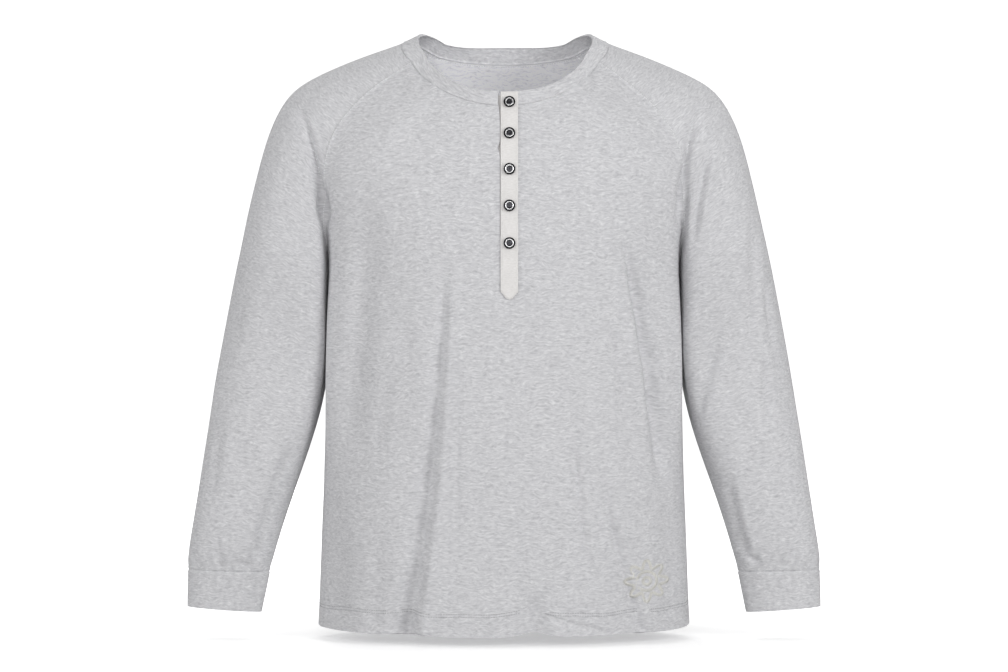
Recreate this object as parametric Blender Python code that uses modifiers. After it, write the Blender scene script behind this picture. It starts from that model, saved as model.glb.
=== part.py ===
"""A long-sleeved raglan henley shirt, filled out as if worn, with no wearer inside it.

Metres, +Z up. The front faces -Y and +X is the viewer's right. The origin is at the base of the
neckband, midway between the shoulders, where the wearer's shoulders carry the shirt.

The cloth is first one open surface lofted through sections, with shared points along its seams.
It is smoothed at the shoulders, its largest folds are pressed in, and it is then parted into the
panels that a maker would cut, each of which gets a wall.
"""

import math
from collections import namedtuple

import bmesh
import bpy
from mathutils import Vector
from mathutils.bvhtree import BVHTree

# Cloth and gaps
CLOTH = 0.0012  # one layer of jersey
DOUBLE_CLOTH = 0.0024  # the turned hem, the cuffs and the neckband
SEAM_GAP = 0.0003  # between neighbouring pieces
EDGE_DRAW = 0.00021  # each panel's share of that gap, with a little for a slanted edge
SHARP_FOLD = 0.9  # the cosine between two panels' shared normal and one's own
HEM_TOP = -0.684  # the cloth is turned up from here down
BODY_STEPS = 20  # faces across the front, and across the back
SLEEVE_STEPS = 18  # faces round a sleeve
BODY_SQUARENESS = 0.14  # how far the body's section is from an ellipse towards a rounded box
HEM_LEVELLING = 0.35  # under 1, the hem's dip is reached near the side seams
ARMPIT_FOLD_TOP = -0.20  # the raglan seams are smoothed above here
CHEST_LOW, CHEST_HIGH = -0.38, -0.16  # where the chest's rows meet the body's tube
SMOOTHINGS = 4
FOLD_ENDS = 4  # a fold comes and goes past its ends, over a quarter of its length

# Neckband and placket
NECK_SHIFT = 0.0015  # the neck sits a little to the wearer's left
NECK_SHIFT_REACH, NECK_SHIFT_FADE = 0.12, 0.07  # to each side of the middle, and past that
NECK_SHIFT_LOW, NECK_SHIFT_HIGH = -0.30, -0.10  # it comes in between these heights
NECK_MIDDLE = (NECK_SHIFT, -0.012)
BAND_RISE, BAND_RISE_LOST_AT_SIDE = 0.0186, 0.0106
BAND_LEAN, BAND_LEAN_GAINED_AT_SIDE = 0.0065, 0.0105
BAND_ROUNDING = 0.0012
PLACKET_MIDDLE = 0.0064
PLACKET_WIDTH = 0.021
PLACKET_TOP, PLACKET_SHOULDER, PLACKET_TIP = -0.0685, -0.3075, -0.3155
PLACKET_THICKNESS = 0.0016
PLACKET_CLEAR = 0.0007  # from the cloth under it, over the fold at the neck seam
PLACKET_ROWS, PLACKET_COLUMNS = 20, 3
STRIP_REACH = 0.003  # how far round each of its points a strip clears the cloth
UNDER_WIDTH, UNDER_SHIFT = 0.024, -0.0065
UNDER_TOP, UNDER_BOTTOM = -0.0690, -0.262
SLIT_LEFT, SLIT_RIGHT, SLIT_BOTTOM = -0.0070, 0.0125, -0.240

# Buttons: a ring round a dished cap
BUTTON_HEIGHTS = (-0.0800, -0.1180, -0.1605, -0.2040, -0.2485)
BUTTON_RADIUS = 0.0070
BUTTON_THICKNESS = 0.0030
BUTTON_STEPS = 16

# The body below the underarm, from the hem up. front and back are depths from the side seams.
BodyRow = namedtuple("BodyRow", "side_z middle_z half_width front back")
BODY_ROWS = (
    BodyRow(-0.7103, -0.7175, 0.2285, 0.1180, 0.1150),
    BodyRow(-0.6855, -0.6920, 0.2274, 0.1185, 0.1152),
    BodyRow(-0.6815, -0.6875, 0.2272, 0.1185, 0.1152),
    BodyRow(-0.6400, -0.6440, 0.2256, 0.1190, 0.1155),
    BodyRow(-0.5850, -0.5880, 0.2238, 0.1198, 0.1160),
    BodyRow(-0.5300, -0.5320, 0.2212, 0.1205, 0.1165),
    BodyRow(-0.4750, -0.4760, 0.2196, 0.1215, 0.1172),
    BodyRow(-0.4200, -0.4200, 0.2190, 0.1232, 0.1178),
    BodyRow(-0.3650, -0.3650, 0.2182, 0.1255, 0.1180),
    BodyRow(-0.3150, -0.3150, 0.2170, 0.1272, 0.1180),
)

# From the underarm up to the neck seam: the body's middle line, front and back, and how far each
# row turns from its middle to the raglan seam, in degrees.
ChestRow = namedtuple("ChestRow", "front_y front_z front_turn back_y back_z back_turn")
CHEST_ROWS = (
    ChestRow(-0.1280, -0.2700, 90, 0.1180, -0.2700, 90),
    ChestRow(-0.1280, -0.2450, 85, 0.1190, -0.2350, 85),
    ChestRow(-0.1275, -0.2200, 78, 0.1200, -0.2020, 79),
    ChestRow(-0.1265, -0.1980, 71, 0.1200, -0.1720, 72),
    ChestRow(-0.1250, -0.1780, 64, 0.1185, -0.1460, 66),
    ChestRow(-0.1230, -0.1600, 58, 0.1160, -0.1230, 60),
    ChestRow(-0.1205, -0.1450, 54, 0.1120, -0.1020, 56),
    ChestRow(-0.1175, -0.1310, 52, 0.1065, -0.0820, 54),
    ChestRow(-0.1140, -0.1180, 52, 0.0995, -0.0640, 53),
    ChestRow(-0.1100, -0.1060, 54, 0.0920, -0.0470, 54),
    ChestRow(-0.1055, -0.0945, 58, 0.0835, -0.0310, 56),
    ChestRow(-0.1005, -0.0835, 65, 0.0740, -0.0155, 60),
)

# The sleeve cap beside those rows. seam is midway between the front and back raglan seams, top is
# the shoulder line, turn is from the top to a seam, and skew brings the back seam in and up.
CapRow = namedtuple("CapRow", "seam_x seam_z top_x top_z half_depth turn skew_x skew_z")
CAP_ROWS = (
    CapRow(0.2150, -0.2700, 0.3235, -0.2380, 0.0760, 180, 0, 0),
    CapRow(0.2170, -0.2400, 0.3140, -0.1960, 0.0755, 146, 0, 0),
    CapRow(0.2190, -0.2035, 0.3035, -0.1520, 0.0755, 124, 0.0006, 0.0006),
    CapRow(0.2200, -0.1675, 0.2935, -0.1165, 0.0755, 108, 0.0016, 0.0016),
    CapRow(0.2145, -0.1340, 0.2805, -0.0845, 0.0755, 96, 0.0030, 0.0030),
    CapRow(0.2018, -0.1071, 0.2635, -0.0595, 0.0755, 87, 0.0050, 0.0050),
    CapRow(0.1879, -0.0857, 0.2435, -0.0445, 0.0755, 80, 0.0071, 0.0071),
    CapRow(0.1698, -0.0669, 0.2210, -0.0330, 0.0750, 74, 0.0094, 0.0088),
    CapRow(0.1531, -0.0508, 0.1970, -0.0228, 0.0735, 69, 0.0112, 0.0102),
    CapRow(0.1366, -0.0374, 0.1720, -0.0130, 0.0710, 65, 0.0132, 0.0110),
    CapRow(0.1182, -0.0266, 0.1460, -0.0035, 0.0670, 62, 0.0147, 0.0113),
    CapRow(0.0988, -0.0155, 0.1215, 0.0045, 0.0612, 60, 0.0159, 0.0110),
)
CAP_MIDDLE_AT_ARM, CAP_MIDDLE_AT_NECK = 0.012, 0.006  # how far back the sections' middles lie

# The sleeve below the underarm, down to the cuff seam, and the cuff.
TubeRow = namedtuple("TubeRow", "inner_x inner_z outer_x outer_z half_depth middle_y")
SLEEVE_ROWS = (
    TubeRow(0.2172, -0.3100, 0.3345, -0.2850, 0.0725, 0.017),
    TubeRow(0.2162, -0.3600, 0.3450, -0.3380, 0.0670, 0.021),
    TubeRow(0.2185, -0.4120, 0.3548, -0.3920, 0.0610, 0.019),
    TubeRow(0.2300, -0.4660, 0.3632, -0.4480, 0.0560, 0.014),
    TubeRow(0.2462, -0.5160, 0.3712, -0.5020, 0.0500, 0.008),
    TubeRow(0.2638, -0.5660, 0.3790, -0.5550, 0.0440, 0.002),
    TubeRow(0.2775, -0.6120, 0.3862, -0.6050, 0.0380, -0.003),
    TubeRow(0.2845, -0.6360, 0.3905, -0.6320, 0.0320, -0.005),
    TubeRow(0.2872, -0.6450, 0.3888, -0.6435, 0.0262, -0.006),
)
CUFF_ROWS = (
    SLEEVE_ROWS[-1],
    TubeRow(0.2920, -0.6700, 0.3900, -0.6680, 0.0235, -0.007),
    TubeRow(0.2978, -0.6975, 0.3900, -0.6910, 0.0215, -0.008),
)

# The largest folds: soft troughs from one end to the other, on the front (-1) or the back (1).
Fold = namedtuple("Fold", "face start_x start_z end_x end_z half_width depth")
FOLDS = (
    Fold(-1, -0.066, -0.250, -0.114, -0.700, 0.018, 0.0060),
    Fold(-1, 0.142, -0.230, 0.197, -0.460, 0.020, 0.0065),
    Fold(-1, 0.088, -0.440, 0.155, -0.680, 0.020, 0.0040),
    Fold(-1, -0.150, -0.190, -0.176, -0.400, 0.022, 0.0040),
    Fold(1, -0.150, -0.240, -0.105, -0.640, 0.022, 0.0060),
    Fold(1, 0.125, -0.300, 0.080, -0.700, 0.022, 0.0055),
    Fold(1, 0.030, -0.200, 0.012, -0.420, 0.024, 0.0035),
    Fold(-1, 0.300, -0.330, 0.268, -0.390, 0.016, 0.0045),
    Fold(-1, 0.330, -0.400, 0.298, -0.445, 0.016, 0.0040),
    Fold(-1, -0.290, -0.370, -0.255, -0.440, 0.016, 0.0040),
    Fold(1, 0.290, -0.350, 0.335, -0.410, 0.018, 0.0050),
    Fold(1, -0.290, -0.340, -0.335, -0.405, 0.018, 0.0050),
)

PANELS = ("front", "back", "sleeve_left", "sleeve_right", "cuff_left", "cuff_right", "neckband")
HEATHER = ("heather_jersey", (0.575, 0.575, 0.588), 0.92, 0.0)
IVORY = ("ivory_twill", (0.745, 0.730, 0.712), 0.88, 0.0)
GUNMETAL = ("gunmetal", (0.060, 0.060, 0.066), 0.32, 0.9)


def smooth_step(value):
    value = min(max(value, 0.0), 1.0)
    return value * value * (3 - 2 * value)


def arch(seam_middle, tip, across, turn, share):
    """A point on an arc bent to pass over tip, at share from -1 to 1 of its turn. Its ends lie
    either side of seam_middle, by across at a turn of 90 degrees."""
    turn = math.radians(turn)
    angle = share * turn
    lift = (math.cos(angle) - math.cos(turn)) / (1 - math.cos(turn))
    return seam_middle + (tip - seam_middle) * lift + across * math.sin(angle)


def squared(point, half_width, turn):
    """The body's point pushed out towards a rounded box, most where its section is a full half."""
    push = BODY_SQUARENESS * (turn / 90) ** 4
    across = min(abs(point.x) / half_width, 1.0)
    bulge = 1 + push * across * across * (1 - across * across) * 2
    return Vector((point.x, point.y * bulge, point.z))


def level_row(row, depth, middle_z):
    """One row of the body's tube, which dips just inside its side seams and is level between."""
    points = body_row(row.half_width, 0, 0, depth, 1, 90)
    dip = middle_z - row.side_z
    return [Vector((p.x, p.y, row.side_z + dip * max(p.z, 0) ** HEM_LEVELLING)) for p in points]


def shares(steps):
    return [-1 + 2 * i / steps for i in range(steps + 1)]


def body_row(half_width, seam_y, seam_z, tip_y, tip_z, turn):
    """One row across the front or the back, from the viewer's left to the right."""
    seam_middle = Vector((0, seam_y, seam_z))
    tip = Vector((0, tip_y, tip_z))
    across = Vector((half_width / math.sin(math.radians(turn)), 0, 0))
    row = [arch(seam_middle, tip, across, turn, share) for share in shares(BODY_STEPS)]
    return [squared(point, half_width, turn) for point in row]


def seam_points(cap, middle_y):
    """The front and the back raglan seam beside one cap row, on the side of +X."""
    reach = Vector((-cap.skew_x, cap.half_depth, cap.skew_z)) * math.sin(math.radians(cap.turn))
    middle = Vector((cap.seam_x, middle_y, cap.seam_z))
    return middle - reach, middle + reach


def cap_middle_y(index):
    share = index / (len(CAP_ROWS) - 1)
    return CAP_MIDDLE_AT_ARM + (CAP_MIDDLE_AT_NECK - CAP_MIDDLE_AT_ARM) * share


def chest_row(chest, cap, index, facing):
    """One row above the underarm, between the raglan seams of the front (-1) or the back (1)."""
    front_seam, back_seam = seam_points(cap, cap_middle_y(index))
    if facing < 0:
        end, tip = front_seam, (chest.front_y, chest.front_z, chest.front_turn)
    else:
        end, tip = back_seam, (chest.back_y, chest.back_z, chest.back_turn)
    return body_row(*end, *tip)


def panel_rows(facing):
    """The front (-1) or the back (1), from the hem up to the neck seam."""
    if facing < 0:
        rows = [level_row(row, -row.front, row.middle_z) for row in BODY_ROWS]
    else:
        rows = [level_row(row, row.back, row.side_z) for row in BODY_ROWS]
    pairs = enumerate(zip(CHEST_ROWS, CAP_ROWS))
    return rows + [chest_row(chest, cap, index, facing) for index, (chest, cap) in pairs]


def tube_row(row, side):
    inner = Vector((side * row.inner_x, row.middle_y, row.inner_z))
    outer = Vector((side * row.outer_x, row.middle_y, row.outer_z))
    across = Vector((0, row.half_depth, 0))
    return [arch(inner, outer, across, 180, share) for share in shares(SLEEVE_STEPS)]


def cap_row(cap, index, side):
    seam_middle = Vector((side * cap.seam_x, cap_middle_y(index), cap.seam_z))
    tip = Vector((side * cap.top_x, cap_middle_y(index), cap.top_z))
    across = Vector((-side * cap.skew_x, cap.half_depth, cap.skew_z))
    return [arch(seam_middle, tip, across, cap.turn, share) for share in shares(SLEEVE_STEPS)]


def sleeve_rows(side):
    below = [tube_row(row, side) for row in reversed(SLEEVE_ROWS)]
    return below + [cap_row(cap, index, side) for index, cap in enumerate(CAP_ROWS)]


def cuff_rows(side):
    return [tube_row(row, side) for row in CUFF_ROWS]


def band_rows():
    """The neckband's rings, from its seam to its top edge, once round from the front's left."""
    left, right = sleeve_rows(-1)[-1], sleeve_rows(1)[-1]
    ring = panel_rows(-1)[-1] + right[1:] + panel_rows(1)[-1][::-1][1:] + left[::-1][1:]
    middle = Vector((*NECK_MIDDLE, 0))
    rows = [ring]
    for share in (0.5, 1.0):
        row = []
        for point in ring:
            inward = middle - point
            inward.z = 0
            inward.normalize()
            side = inward.x**2
            lean = BAND_LEAN + BAND_LEAN_GAINED_AT_SIDE * side
            rise = BAND_RISE - BAND_RISE_LOST_AT_SIDE * side
            rounding = BAND_ROUNDING * math.sin(math.pi * share)
            row.append(point + inward * (lean * share - rounding) + Vector((0, 0, rise * share)))
        rows.append(row)
    return rows


def loft(cloth, rows, panel):
    """Faces between neighbouring rows of points, marked with their panel."""
    rings = [[cloth.verts.new(point) for point in row] for row in rows]
    for lower, upper in zip(rings, rings[1:]):
        for i in range(len(lower) - 1):
            corners = (lower[i], lower[i + 1], upper[i + 1], upper[i])
            cloth.faces.new(corners).material_index = PANELS.index(panel)


def shift_neck(cloth):
    height = NECK_SHIFT_HIGH - NECK_SHIFT_LOW
    for vert in cloth.verts:
        past = (abs(vert.co.x) - NECK_SHIFT_REACH) / NECK_SHIFT_FADE
        risen = (vert.co.z - NECK_SHIFT_LOW) / height
        vert.co.x += NECK_SHIFT * smooth_step(1 - past) * smooth_step(risen)


def smooth_shoulders(cloth):
    """Rounds the cloth across the raglan seams, down to where the armpit folds begin, and evens
    out the body between its chest rows and its tube."""
    sleeves = {PANELS.index("sleeve_left"), PANELS.index("sleeve_right")}
    seam = set()
    for vert in cloth.verts:
        panels = {face.material_index for face in vert.link_faces}
        if panels & sleeves and panels - sleeves and vert.co.z > ARMPIT_FOLD_TOP:
            seam.add(vert)
    near = set(seam)
    for vert in seam:
        near |= {edge.other_vert(vert) for edge in vert.link_edges}
    band = PANELS.index("neckband")
    near = [v for v in near if band not in {face.material_index for face in v.link_faces}]
    body = {PANELS.index("front"), PANELS.index("back")}
    chest = [
        vert
        for vert in cloth.verts
        if CHEST_LOW < vert.co.z < CHEST_HIGH
        and {face.material_index for face in vert.link_faces} <= body
    ]
    for _ in range(SMOOTHINGS):
        for verts, sideways in ((near, True), (chest, False)):
            bmesh.ops.smooth_vert(
                cloth,
                verts=verts,
                factor=0.5,
                use_axis_x=sideways,
                use_axis_y=True,
                use_axis_z=True,
            )


def press_folds(cloth):
    cloth.normal_update()
    moves = []
    for vert in cloth.verts:
        depth = 0
        for fold in FOLDS:
            run = Vector((fold.end_x - fold.start_x, fold.end_z - fold.start_z))
            to_point = Vector((vert.co.x - fold.start_x, vert.co.z - fold.start_z))
            along = to_point.dot(run) / run.length_squared
            nearest = run * min(max(along, 0.0), 1.0)
            off = (to_point - nearest).length / fold.half_width
            ends = smooth_step(along * FOLD_ENDS + 1) * smooth_step((1 - along) * FOLD_ENDS + 1)
            if vert.normal.y * fold.face > 0:
                depth += fold.depth * math.exp(-off * off) * ends
        moves.append(-depth * vert.normal)
    for vert, move in zip(cloth.verts, moves):
        vert.co += move


def whole_cloth():
    cloth = bmesh.new()
    loft(cloth, panel_rows(-1), "front")
    loft(cloth, panel_rows(1), "back")
    loft(cloth, band_rows(), "neckband")
    for side, name in ((-1, "left"), (1, "right")):
        loft(cloth, sleeve_rows(side), "sleeve_" + name)
        loft(cloth, cuff_rows(side), "cuff_" + name)
    bmesh.ops.remove_doubles(cloth, verts=cloth.verts, dist=1e-5)
    bmesh.ops.recalc_face_normals(cloth, faces=cloth.faces)
    middle_front = min(cloth.faces, key=lambda face: face.calc_center_median().y)
    if middle_front.normal.y > 0:
        bmesh.ops.reverse_faces(cloth, faces=cloth.faces)
    shift_neck(cloth)
    smooth_shoulders(cloth)
    press_folds(cloth)
    cloth.normal_update()
    return cloth


def material(name, colour, roughness, metallic):
    made = bpy.data.materials.new(name)
    made.use_nodes = True
    shader = made.node_tree.nodes["Principled BSDF"]
    shader.inputs["Base Color"].default_value = (*colour, 1)
    shader.inputs["Roughness"].default_value = roughness
    shader.inputs["Metallic"].default_value = metallic
    return made


def add_object(name, mesh, looks, collection):
    made = bpy.data.objects.new(name, mesh)
    mesh.materials.clear()
    mesh.materials.append(looks)
    mesh.shade_smooth()
    collection.objects.link(made)
    return made


def add_wall(made, thickness, offset):
    wall = made.modifiers.new("wall", "SOLIDIFY")
    wall.thickness = thickness
    wall.offset = offset
    wall.use_even_offset = True
    return wall


def draw_back_edges(panel):
    """Moves the open edges in, so that a gap parts neighbouring panels."""
    moves = {}
    for vert in panel.verts:
        if vert.is_boundary:
            middles = [face.calc_center_median() for face in vert.link_faces]
            inward = sum(middles, Vector()) / len(middles) - vert.co
            moves[vert] = inward.normalized() * EDGE_DRAW
    for vert, move in moves.items():
        vert.co += move


def add_inner_wall(panel, normals, thickness_of):
    """Closes the open panel with an inner layer. Its depth follows the whole cloth's normals, so
    that the walls of two panels stay parallel along their seam, which Solidify can't do. In the
    sharp fold at an armpit, where those normals lean too far, it follows the panel's own."""
    outer_faces, outer_verts = list(panel.faces), list(panel.verts)
    panel.normal_update()
    for vert in outer_verts:
        if vert.normal.dot(normals[vert]) < SHARP_FOLD:
            normals[vert] = vert.normal.copy()
    rim = [edge for edge in panel.edges if edge.is_boundary]
    inner = {v: panel.verts.new(v.co - normals[v] * thickness_of(v.co)) for v in outer_verts}
    for face in outer_faces:
        panel.faces.new([inner[v] for v in reversed(face.verts)])
    for edge in rim:
        loop = edge.link_loops[0]
        start, end = loop.vert, loop.link_loop_next.vert
        panel.faces.new((end, start, inner[start], inner[end]))


def layers(name):
    """How thick the wall is at a point of this panel."""
    turned_up = HEM_TOP if name in ("front", "back") else -math.inf
    doubled = name.startswith(("cuff", "neckband"))
    return lambda point: DOUBLE_CLOTH if doubled or point.z < turned_up else CLOTH


def add_panel(cloth, name, looks, collection):
    """One panel of the whole cloth, with a wall on its inner side."""
    panel = cloth.copy()
    normals = {vert: vert.normal.copy() for vert in panel.verts}
    others = [face for face in panel.faces if face.material_index != PANELS.index(name)]
    bmesh.ops.delete(panel, geom=others, context="FACES")
    draw_back_edges(panel)
    add_inner_wall(panel, normals, layers(name))
    for face in panel.faces:
        face.material_index = 0
    mesh = bpy.data.meshes.new(name)
    panel.to_mesh(mesh)
    panel.free()
    return add_object(name, mesh, looks, collection)


def on_front(tree, x, z):
    """The outer surface's point and normal straight behind (x, z), seen from the front."""
    point, normal, _, _ = tree.ray_cast(Vector((x, -1, z)), Vector((0, 1, 0)))
    return point, normal


def seat(tree, x, z, reach):
    """A point that clears all of the front within reach of (x, z), and the way it faces."""
    around = [
        on_front(tree, x + reach * math.cos(angle), z + reach * math.sin(angle))
        for angle in (math.tau * i / 8 for i in range(8))
    ]
    facing = sum((normal for _, normal in around), Vector()).normalized()
    middle, _ = on_front(tree, x, z)
    proud = max((point - middle).dot(facing) for point, _ in around)
    return middle + facing * max(proud, 0), facing


def add_strip(tree, name, edges, top, bottom_of, inset, thickness, looks, collection):
    """A strip down the front, made from the cloth's points and moved inset along its normals."""
    left, right = edges
    strip = bmesh.new()
    rows = []
    for i in range(PLACKET_ROWS + 1):
        row = []
        for j in range(PLACKET_COLUMNS + 1):
            x = left + (right - left) * j / PLACKET_COLUMNS
            z = top + (bottom_of(x) - top) * i / PLACKET_ROWS
            point, facing = seat(tree, x, z, STRIP_REACH)
            row.append(strip.verts.new(point + facing * inset))
        rows.append(row)
    for upper, lower in zip(rows, rows[1:]):
        for j in range(PLACKET_COLUMNS):
            strip.faces.new((upper[j], lower[j], lower[j + 1], upper[j + 1]))
    mesh = bpy.data.meshes.new(name)
    strip.to_mesh(mesh)
    strip.free()
    made = add_object(name, mesh, looks, collection)
    add_wall(made, thickness, 1)
    return made


def pointed_end(x):
    """The placket's lower edge: level at its middle and cut off at both corners."""
    off = abs(x - PLACKET_MIDDLE) / (PLACKET_WIDTH / 2)
    return PLACKET_TIP + (PLACKET_SHOULDER - PLACKET_TIP) * smooth_step((off - 0.2) / 0.8)


def square_end(_):
    return UNDER_BOTTOM


def button_mesh():
    """Half of the turned profile, from the middle of the dish over the rim to the back."""
    radius, height = BUTTON_RADIUS, BUTTON_THICKNESS
    profile = (
        (0.0, 0.55 * height),
        (0.42 * radius, 0.50 * height),
        (0.56 * radius, 0.78 * height),
        (0.74 * radius, 0.72 * height),
        (0.86 * radius, height),
        (0.97 * radius, 0.85 * height),
        (radius, 0.45 * height),
        (0.93 * radius, 0.0),
        (0.0, 0.0),
    )
    mesh = bpy.data.meshes.new("button")
    points = [(x, 0, z) for x, z in profile]
    edges = [(i, i + 1) for i in range(len(points) - 1)]
    mesh.from_pydata(points, edges, [])
    return mesh


def add_buttons(tree, looks, collection):
    mesh = button_mesh()
    for number, height in enumerate(BUTTON_HEIGHTS, 1):
        button = add_object(f"button_{number}", mesh, looks, collection)
        turned = button.modifiers.new("turned", "SCREW")
        turned.steps = turned.render_steps = BUTTON_STEPS
        turned.use_merge_vertices = True
        turned.merge_threshold = 0.00005
        point, facing = seat(tree, PLACKET_MIDDLE, height, BUTTON_RADIUS)
        button.location = point + facing * (PLACKET_CLEAR + PLACKET_THICKNESS + 2 * SEAM_GAP)
        button.rotation_mode = "QUATERNION"
        button.rotation_quaternion = Vector((0, 0, 1)).rotation_difference(facing)


def slit_cutter(collection):
    bpy.ops.mesh.primitive_cube_add(size=1)
    cutter = bpy.context.object
    cutter.name = "slit_cutter"
    for user in list(cutter.users_collection):
        user.objects.unlink(cutter)
    collection.objects.link(cutter)
    front, back, top = -0.2, -0.04, 0.03
    cutter.location = (
        (SLIT_LEFT + SLIT_RIGHT) / 2,
        (front + back) / 2,
        (SLIT_BOTTOM + top) / 2,
    )
    cutter.scale = (SLIT_RIGHT - SLIT_LEFT, back - front, top - SLIT_BOTTOM)
    cutter.hide_render = True
    cutter.display_type = "WIRE"
    return cutter


def cut(made, cutter):
    slit = made.modifiers.new("slit", "BOOLEAN")
    slit.operation = "DIFFERENCE"
    slit.object = cutter


def new_collection(name):
    made = bpy.data.collections.new(name)
    bpy.context.scene.collection.children.link(made)
    return made


def main():
    for old in list(bpy.data.objects):
        bpy.data.objects.remove(old)
    shirt = new_collection("henley_shirt")
    cutters = new_collection("cutters")
    jersey, twill, metal = material(*HEATHER), material(*IVORY), material(*GUNMETAL)

    cloth = whole_cloth()
    tree = BVHTree.FromBMesh(cloth)
    panels = {name: add_panel(cloth, name, jersey, shirt) for name in PANELS}
    cloth.free()
    cutter = slit_cutter(cutters)
    cut(panels["front"], cutter)
    cut(panels["neckband"], cutter)

    half = PLACKET_WIDTH / 2
    upper = (PLACKET_MIDDLE - half, PLACKET_MIDDLE + half)
    add_strip(
        tree, "placket_upper", upper, PLACKET_TOP, pointed_end,
        PLACKET_CLEAR, PLACKET_THICKNESS, twill, shirt,
    )
    middle = PLACKET_MIDDLE + UNDER_SHIFT
    under = (middle - UNDER_WIDTH / 2, middle + UNDER_WIDTH / 2)
    add_strip(
        tree, "placket_under", under, UNDER_TOP, square_end,
        -(DOUBLE_CLOTH + CLOTH + 2 * SEAM_GAP), CLOTH, twill, shirt,
    )
    add_buttons(tree, metal, shirt)


main()
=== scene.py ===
"""The looks of a long-sleeved henley shirt, filled out as if worn, with no wearer inside it.

The coarse cage repeats the sections of the CAD model. It is subdivided as one cloth, its folds are
pressed in, and it is parted into thin panels, each of which stands for its CAD node. The placket,
buttons, stitches and embroidery are then laid on that cloth. Metres, +Z up, front facing -Y.
"""

import math
import random
from collections import namedtuple

import bmesh
import bpy
import numpy as np
from mathutils import Matrix, Vector
from mathutils.bvhtree import BVHTree


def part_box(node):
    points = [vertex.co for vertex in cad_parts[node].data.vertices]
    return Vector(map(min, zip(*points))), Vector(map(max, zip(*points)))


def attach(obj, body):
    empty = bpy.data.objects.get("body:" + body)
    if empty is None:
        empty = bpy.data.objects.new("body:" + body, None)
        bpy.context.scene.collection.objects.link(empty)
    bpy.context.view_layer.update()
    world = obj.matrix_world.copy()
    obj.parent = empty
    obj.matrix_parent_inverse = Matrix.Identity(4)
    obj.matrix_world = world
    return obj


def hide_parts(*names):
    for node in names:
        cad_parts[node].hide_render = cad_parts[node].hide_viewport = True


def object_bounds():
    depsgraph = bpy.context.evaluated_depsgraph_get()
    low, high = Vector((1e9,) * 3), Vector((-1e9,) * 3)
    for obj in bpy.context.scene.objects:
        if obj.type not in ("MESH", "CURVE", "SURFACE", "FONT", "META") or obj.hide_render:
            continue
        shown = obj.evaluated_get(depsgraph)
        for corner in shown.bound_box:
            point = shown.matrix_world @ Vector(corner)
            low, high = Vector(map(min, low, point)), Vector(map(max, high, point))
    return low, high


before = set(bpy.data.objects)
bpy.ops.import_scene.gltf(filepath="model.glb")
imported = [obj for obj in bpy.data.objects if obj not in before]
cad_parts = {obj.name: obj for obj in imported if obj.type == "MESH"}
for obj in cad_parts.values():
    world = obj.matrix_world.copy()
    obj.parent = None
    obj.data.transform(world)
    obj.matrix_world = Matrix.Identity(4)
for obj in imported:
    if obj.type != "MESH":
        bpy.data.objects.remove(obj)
cad_box = [list(map(float, corner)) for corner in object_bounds()]

# ---------------------------------------------------------------- sizes shared with the CAD model

BODY_STEPS = 24
SLEEVE_STEPS = 18
BODY_SQUARENESS = 0.14
HEM_LEVELLING = 0.35
NECK_SHIFT = 0.0015  # the neck sits a little to the right
NECK_SHIFT_REACH, NECK_SHIFT_FADE = 0.12, 0.07  # to each side of the middle, and past that
NECK_SHIFT_LOW, NECK_SHIFT_HIGH = -0.30, -0.10  # it comes in between these heights
NECK_MIDDLE = (NECK_SHIFT, -0.012)
ARMPIT_FOLD_TOP = -0.20  # the raglan seams are smoothed above here
CHEST_LOW, CHEST_HIGH = -0.38, -0.16  # where the chest's rows meet the body's tube
SMOOTHINGS = 4
BAND_RISE, BAND_RISE_LOST_AT_SIDE = 0.0186, 0.0106
BAND_LEAN, BAND_LEAN_GAINED_AT_SIDE = 0.0065, 0.0105
BAND_ROUNDING = 0.0012
PLACKET_MIDDLE, PLACKET_WIDTH = 0.0064, 0.021
PLACKET_TOP, PLACKET_SHOULDER, PLACKET_TIP = -0.0665, -0.3075, -0.3155
UNDER_WIDTH, UNDER_SHIFT = 0.024, -0.0065
UNDER_TOP, UNDER_BOTTOM = -0.0675, -0.262
SLIT_LEFT, SLIT_RIGHT, SLIT_BOTTOM = -0.0070, 0.0125, -0.240
SLIT_CLOSES, SLIT_GAPES = 0.0024, ((-0.076, 0.016), (-0.135, 0.006))
BUTTON_HEIGHTS = (-0.0800, -0.1180, -0.1605, -0.2040, -0.2485)
BUTTON_RADIUS, BUTTON_THICKNESS = 0.0070, 0.0030

BodyRow = namedtuple("BodyRow", "side_z middle_z half_width front back")
BODY_ROWS = (
    BodyRow(-0.7103, -0.7175, 0.2285, 0.1180, 0.1150),
    BodyRow(-0.6985, -0.7045, 0.2280, 0.1182, 0.1150),
    BodyRow(-0.6855, -0.6920, 0.2274, 0.1185, 0.1152),
    BodyRow(-0.6815, -0.6875, 0.2272, 0.1185, 0.1152),
    BodyRow(-0.6400, -0.6440, 0.2256, 0.1190, 0.1155),
    BodyRow(-0.5850, -0.5880, 0.2238, 0.1198, 0.1160),
    BodyRow(-0.5300, -0.5320, 0.2212, 0.1205, 0.1165),
    BodyRow(-0.4750, -0.4760, 0.2196, 0.1215, 0.1172),
    BodyRow(-0.4200, -0.4200, 0.2190, 0.1232, 0.1178),
    BodyRow(-0.3650, -0.3650, 0.2182, 0.1255, 0.1180),
    BodyRow(-0.3150, -0.3150, 0.2170, 0.1272, 0.1180),
)

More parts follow.
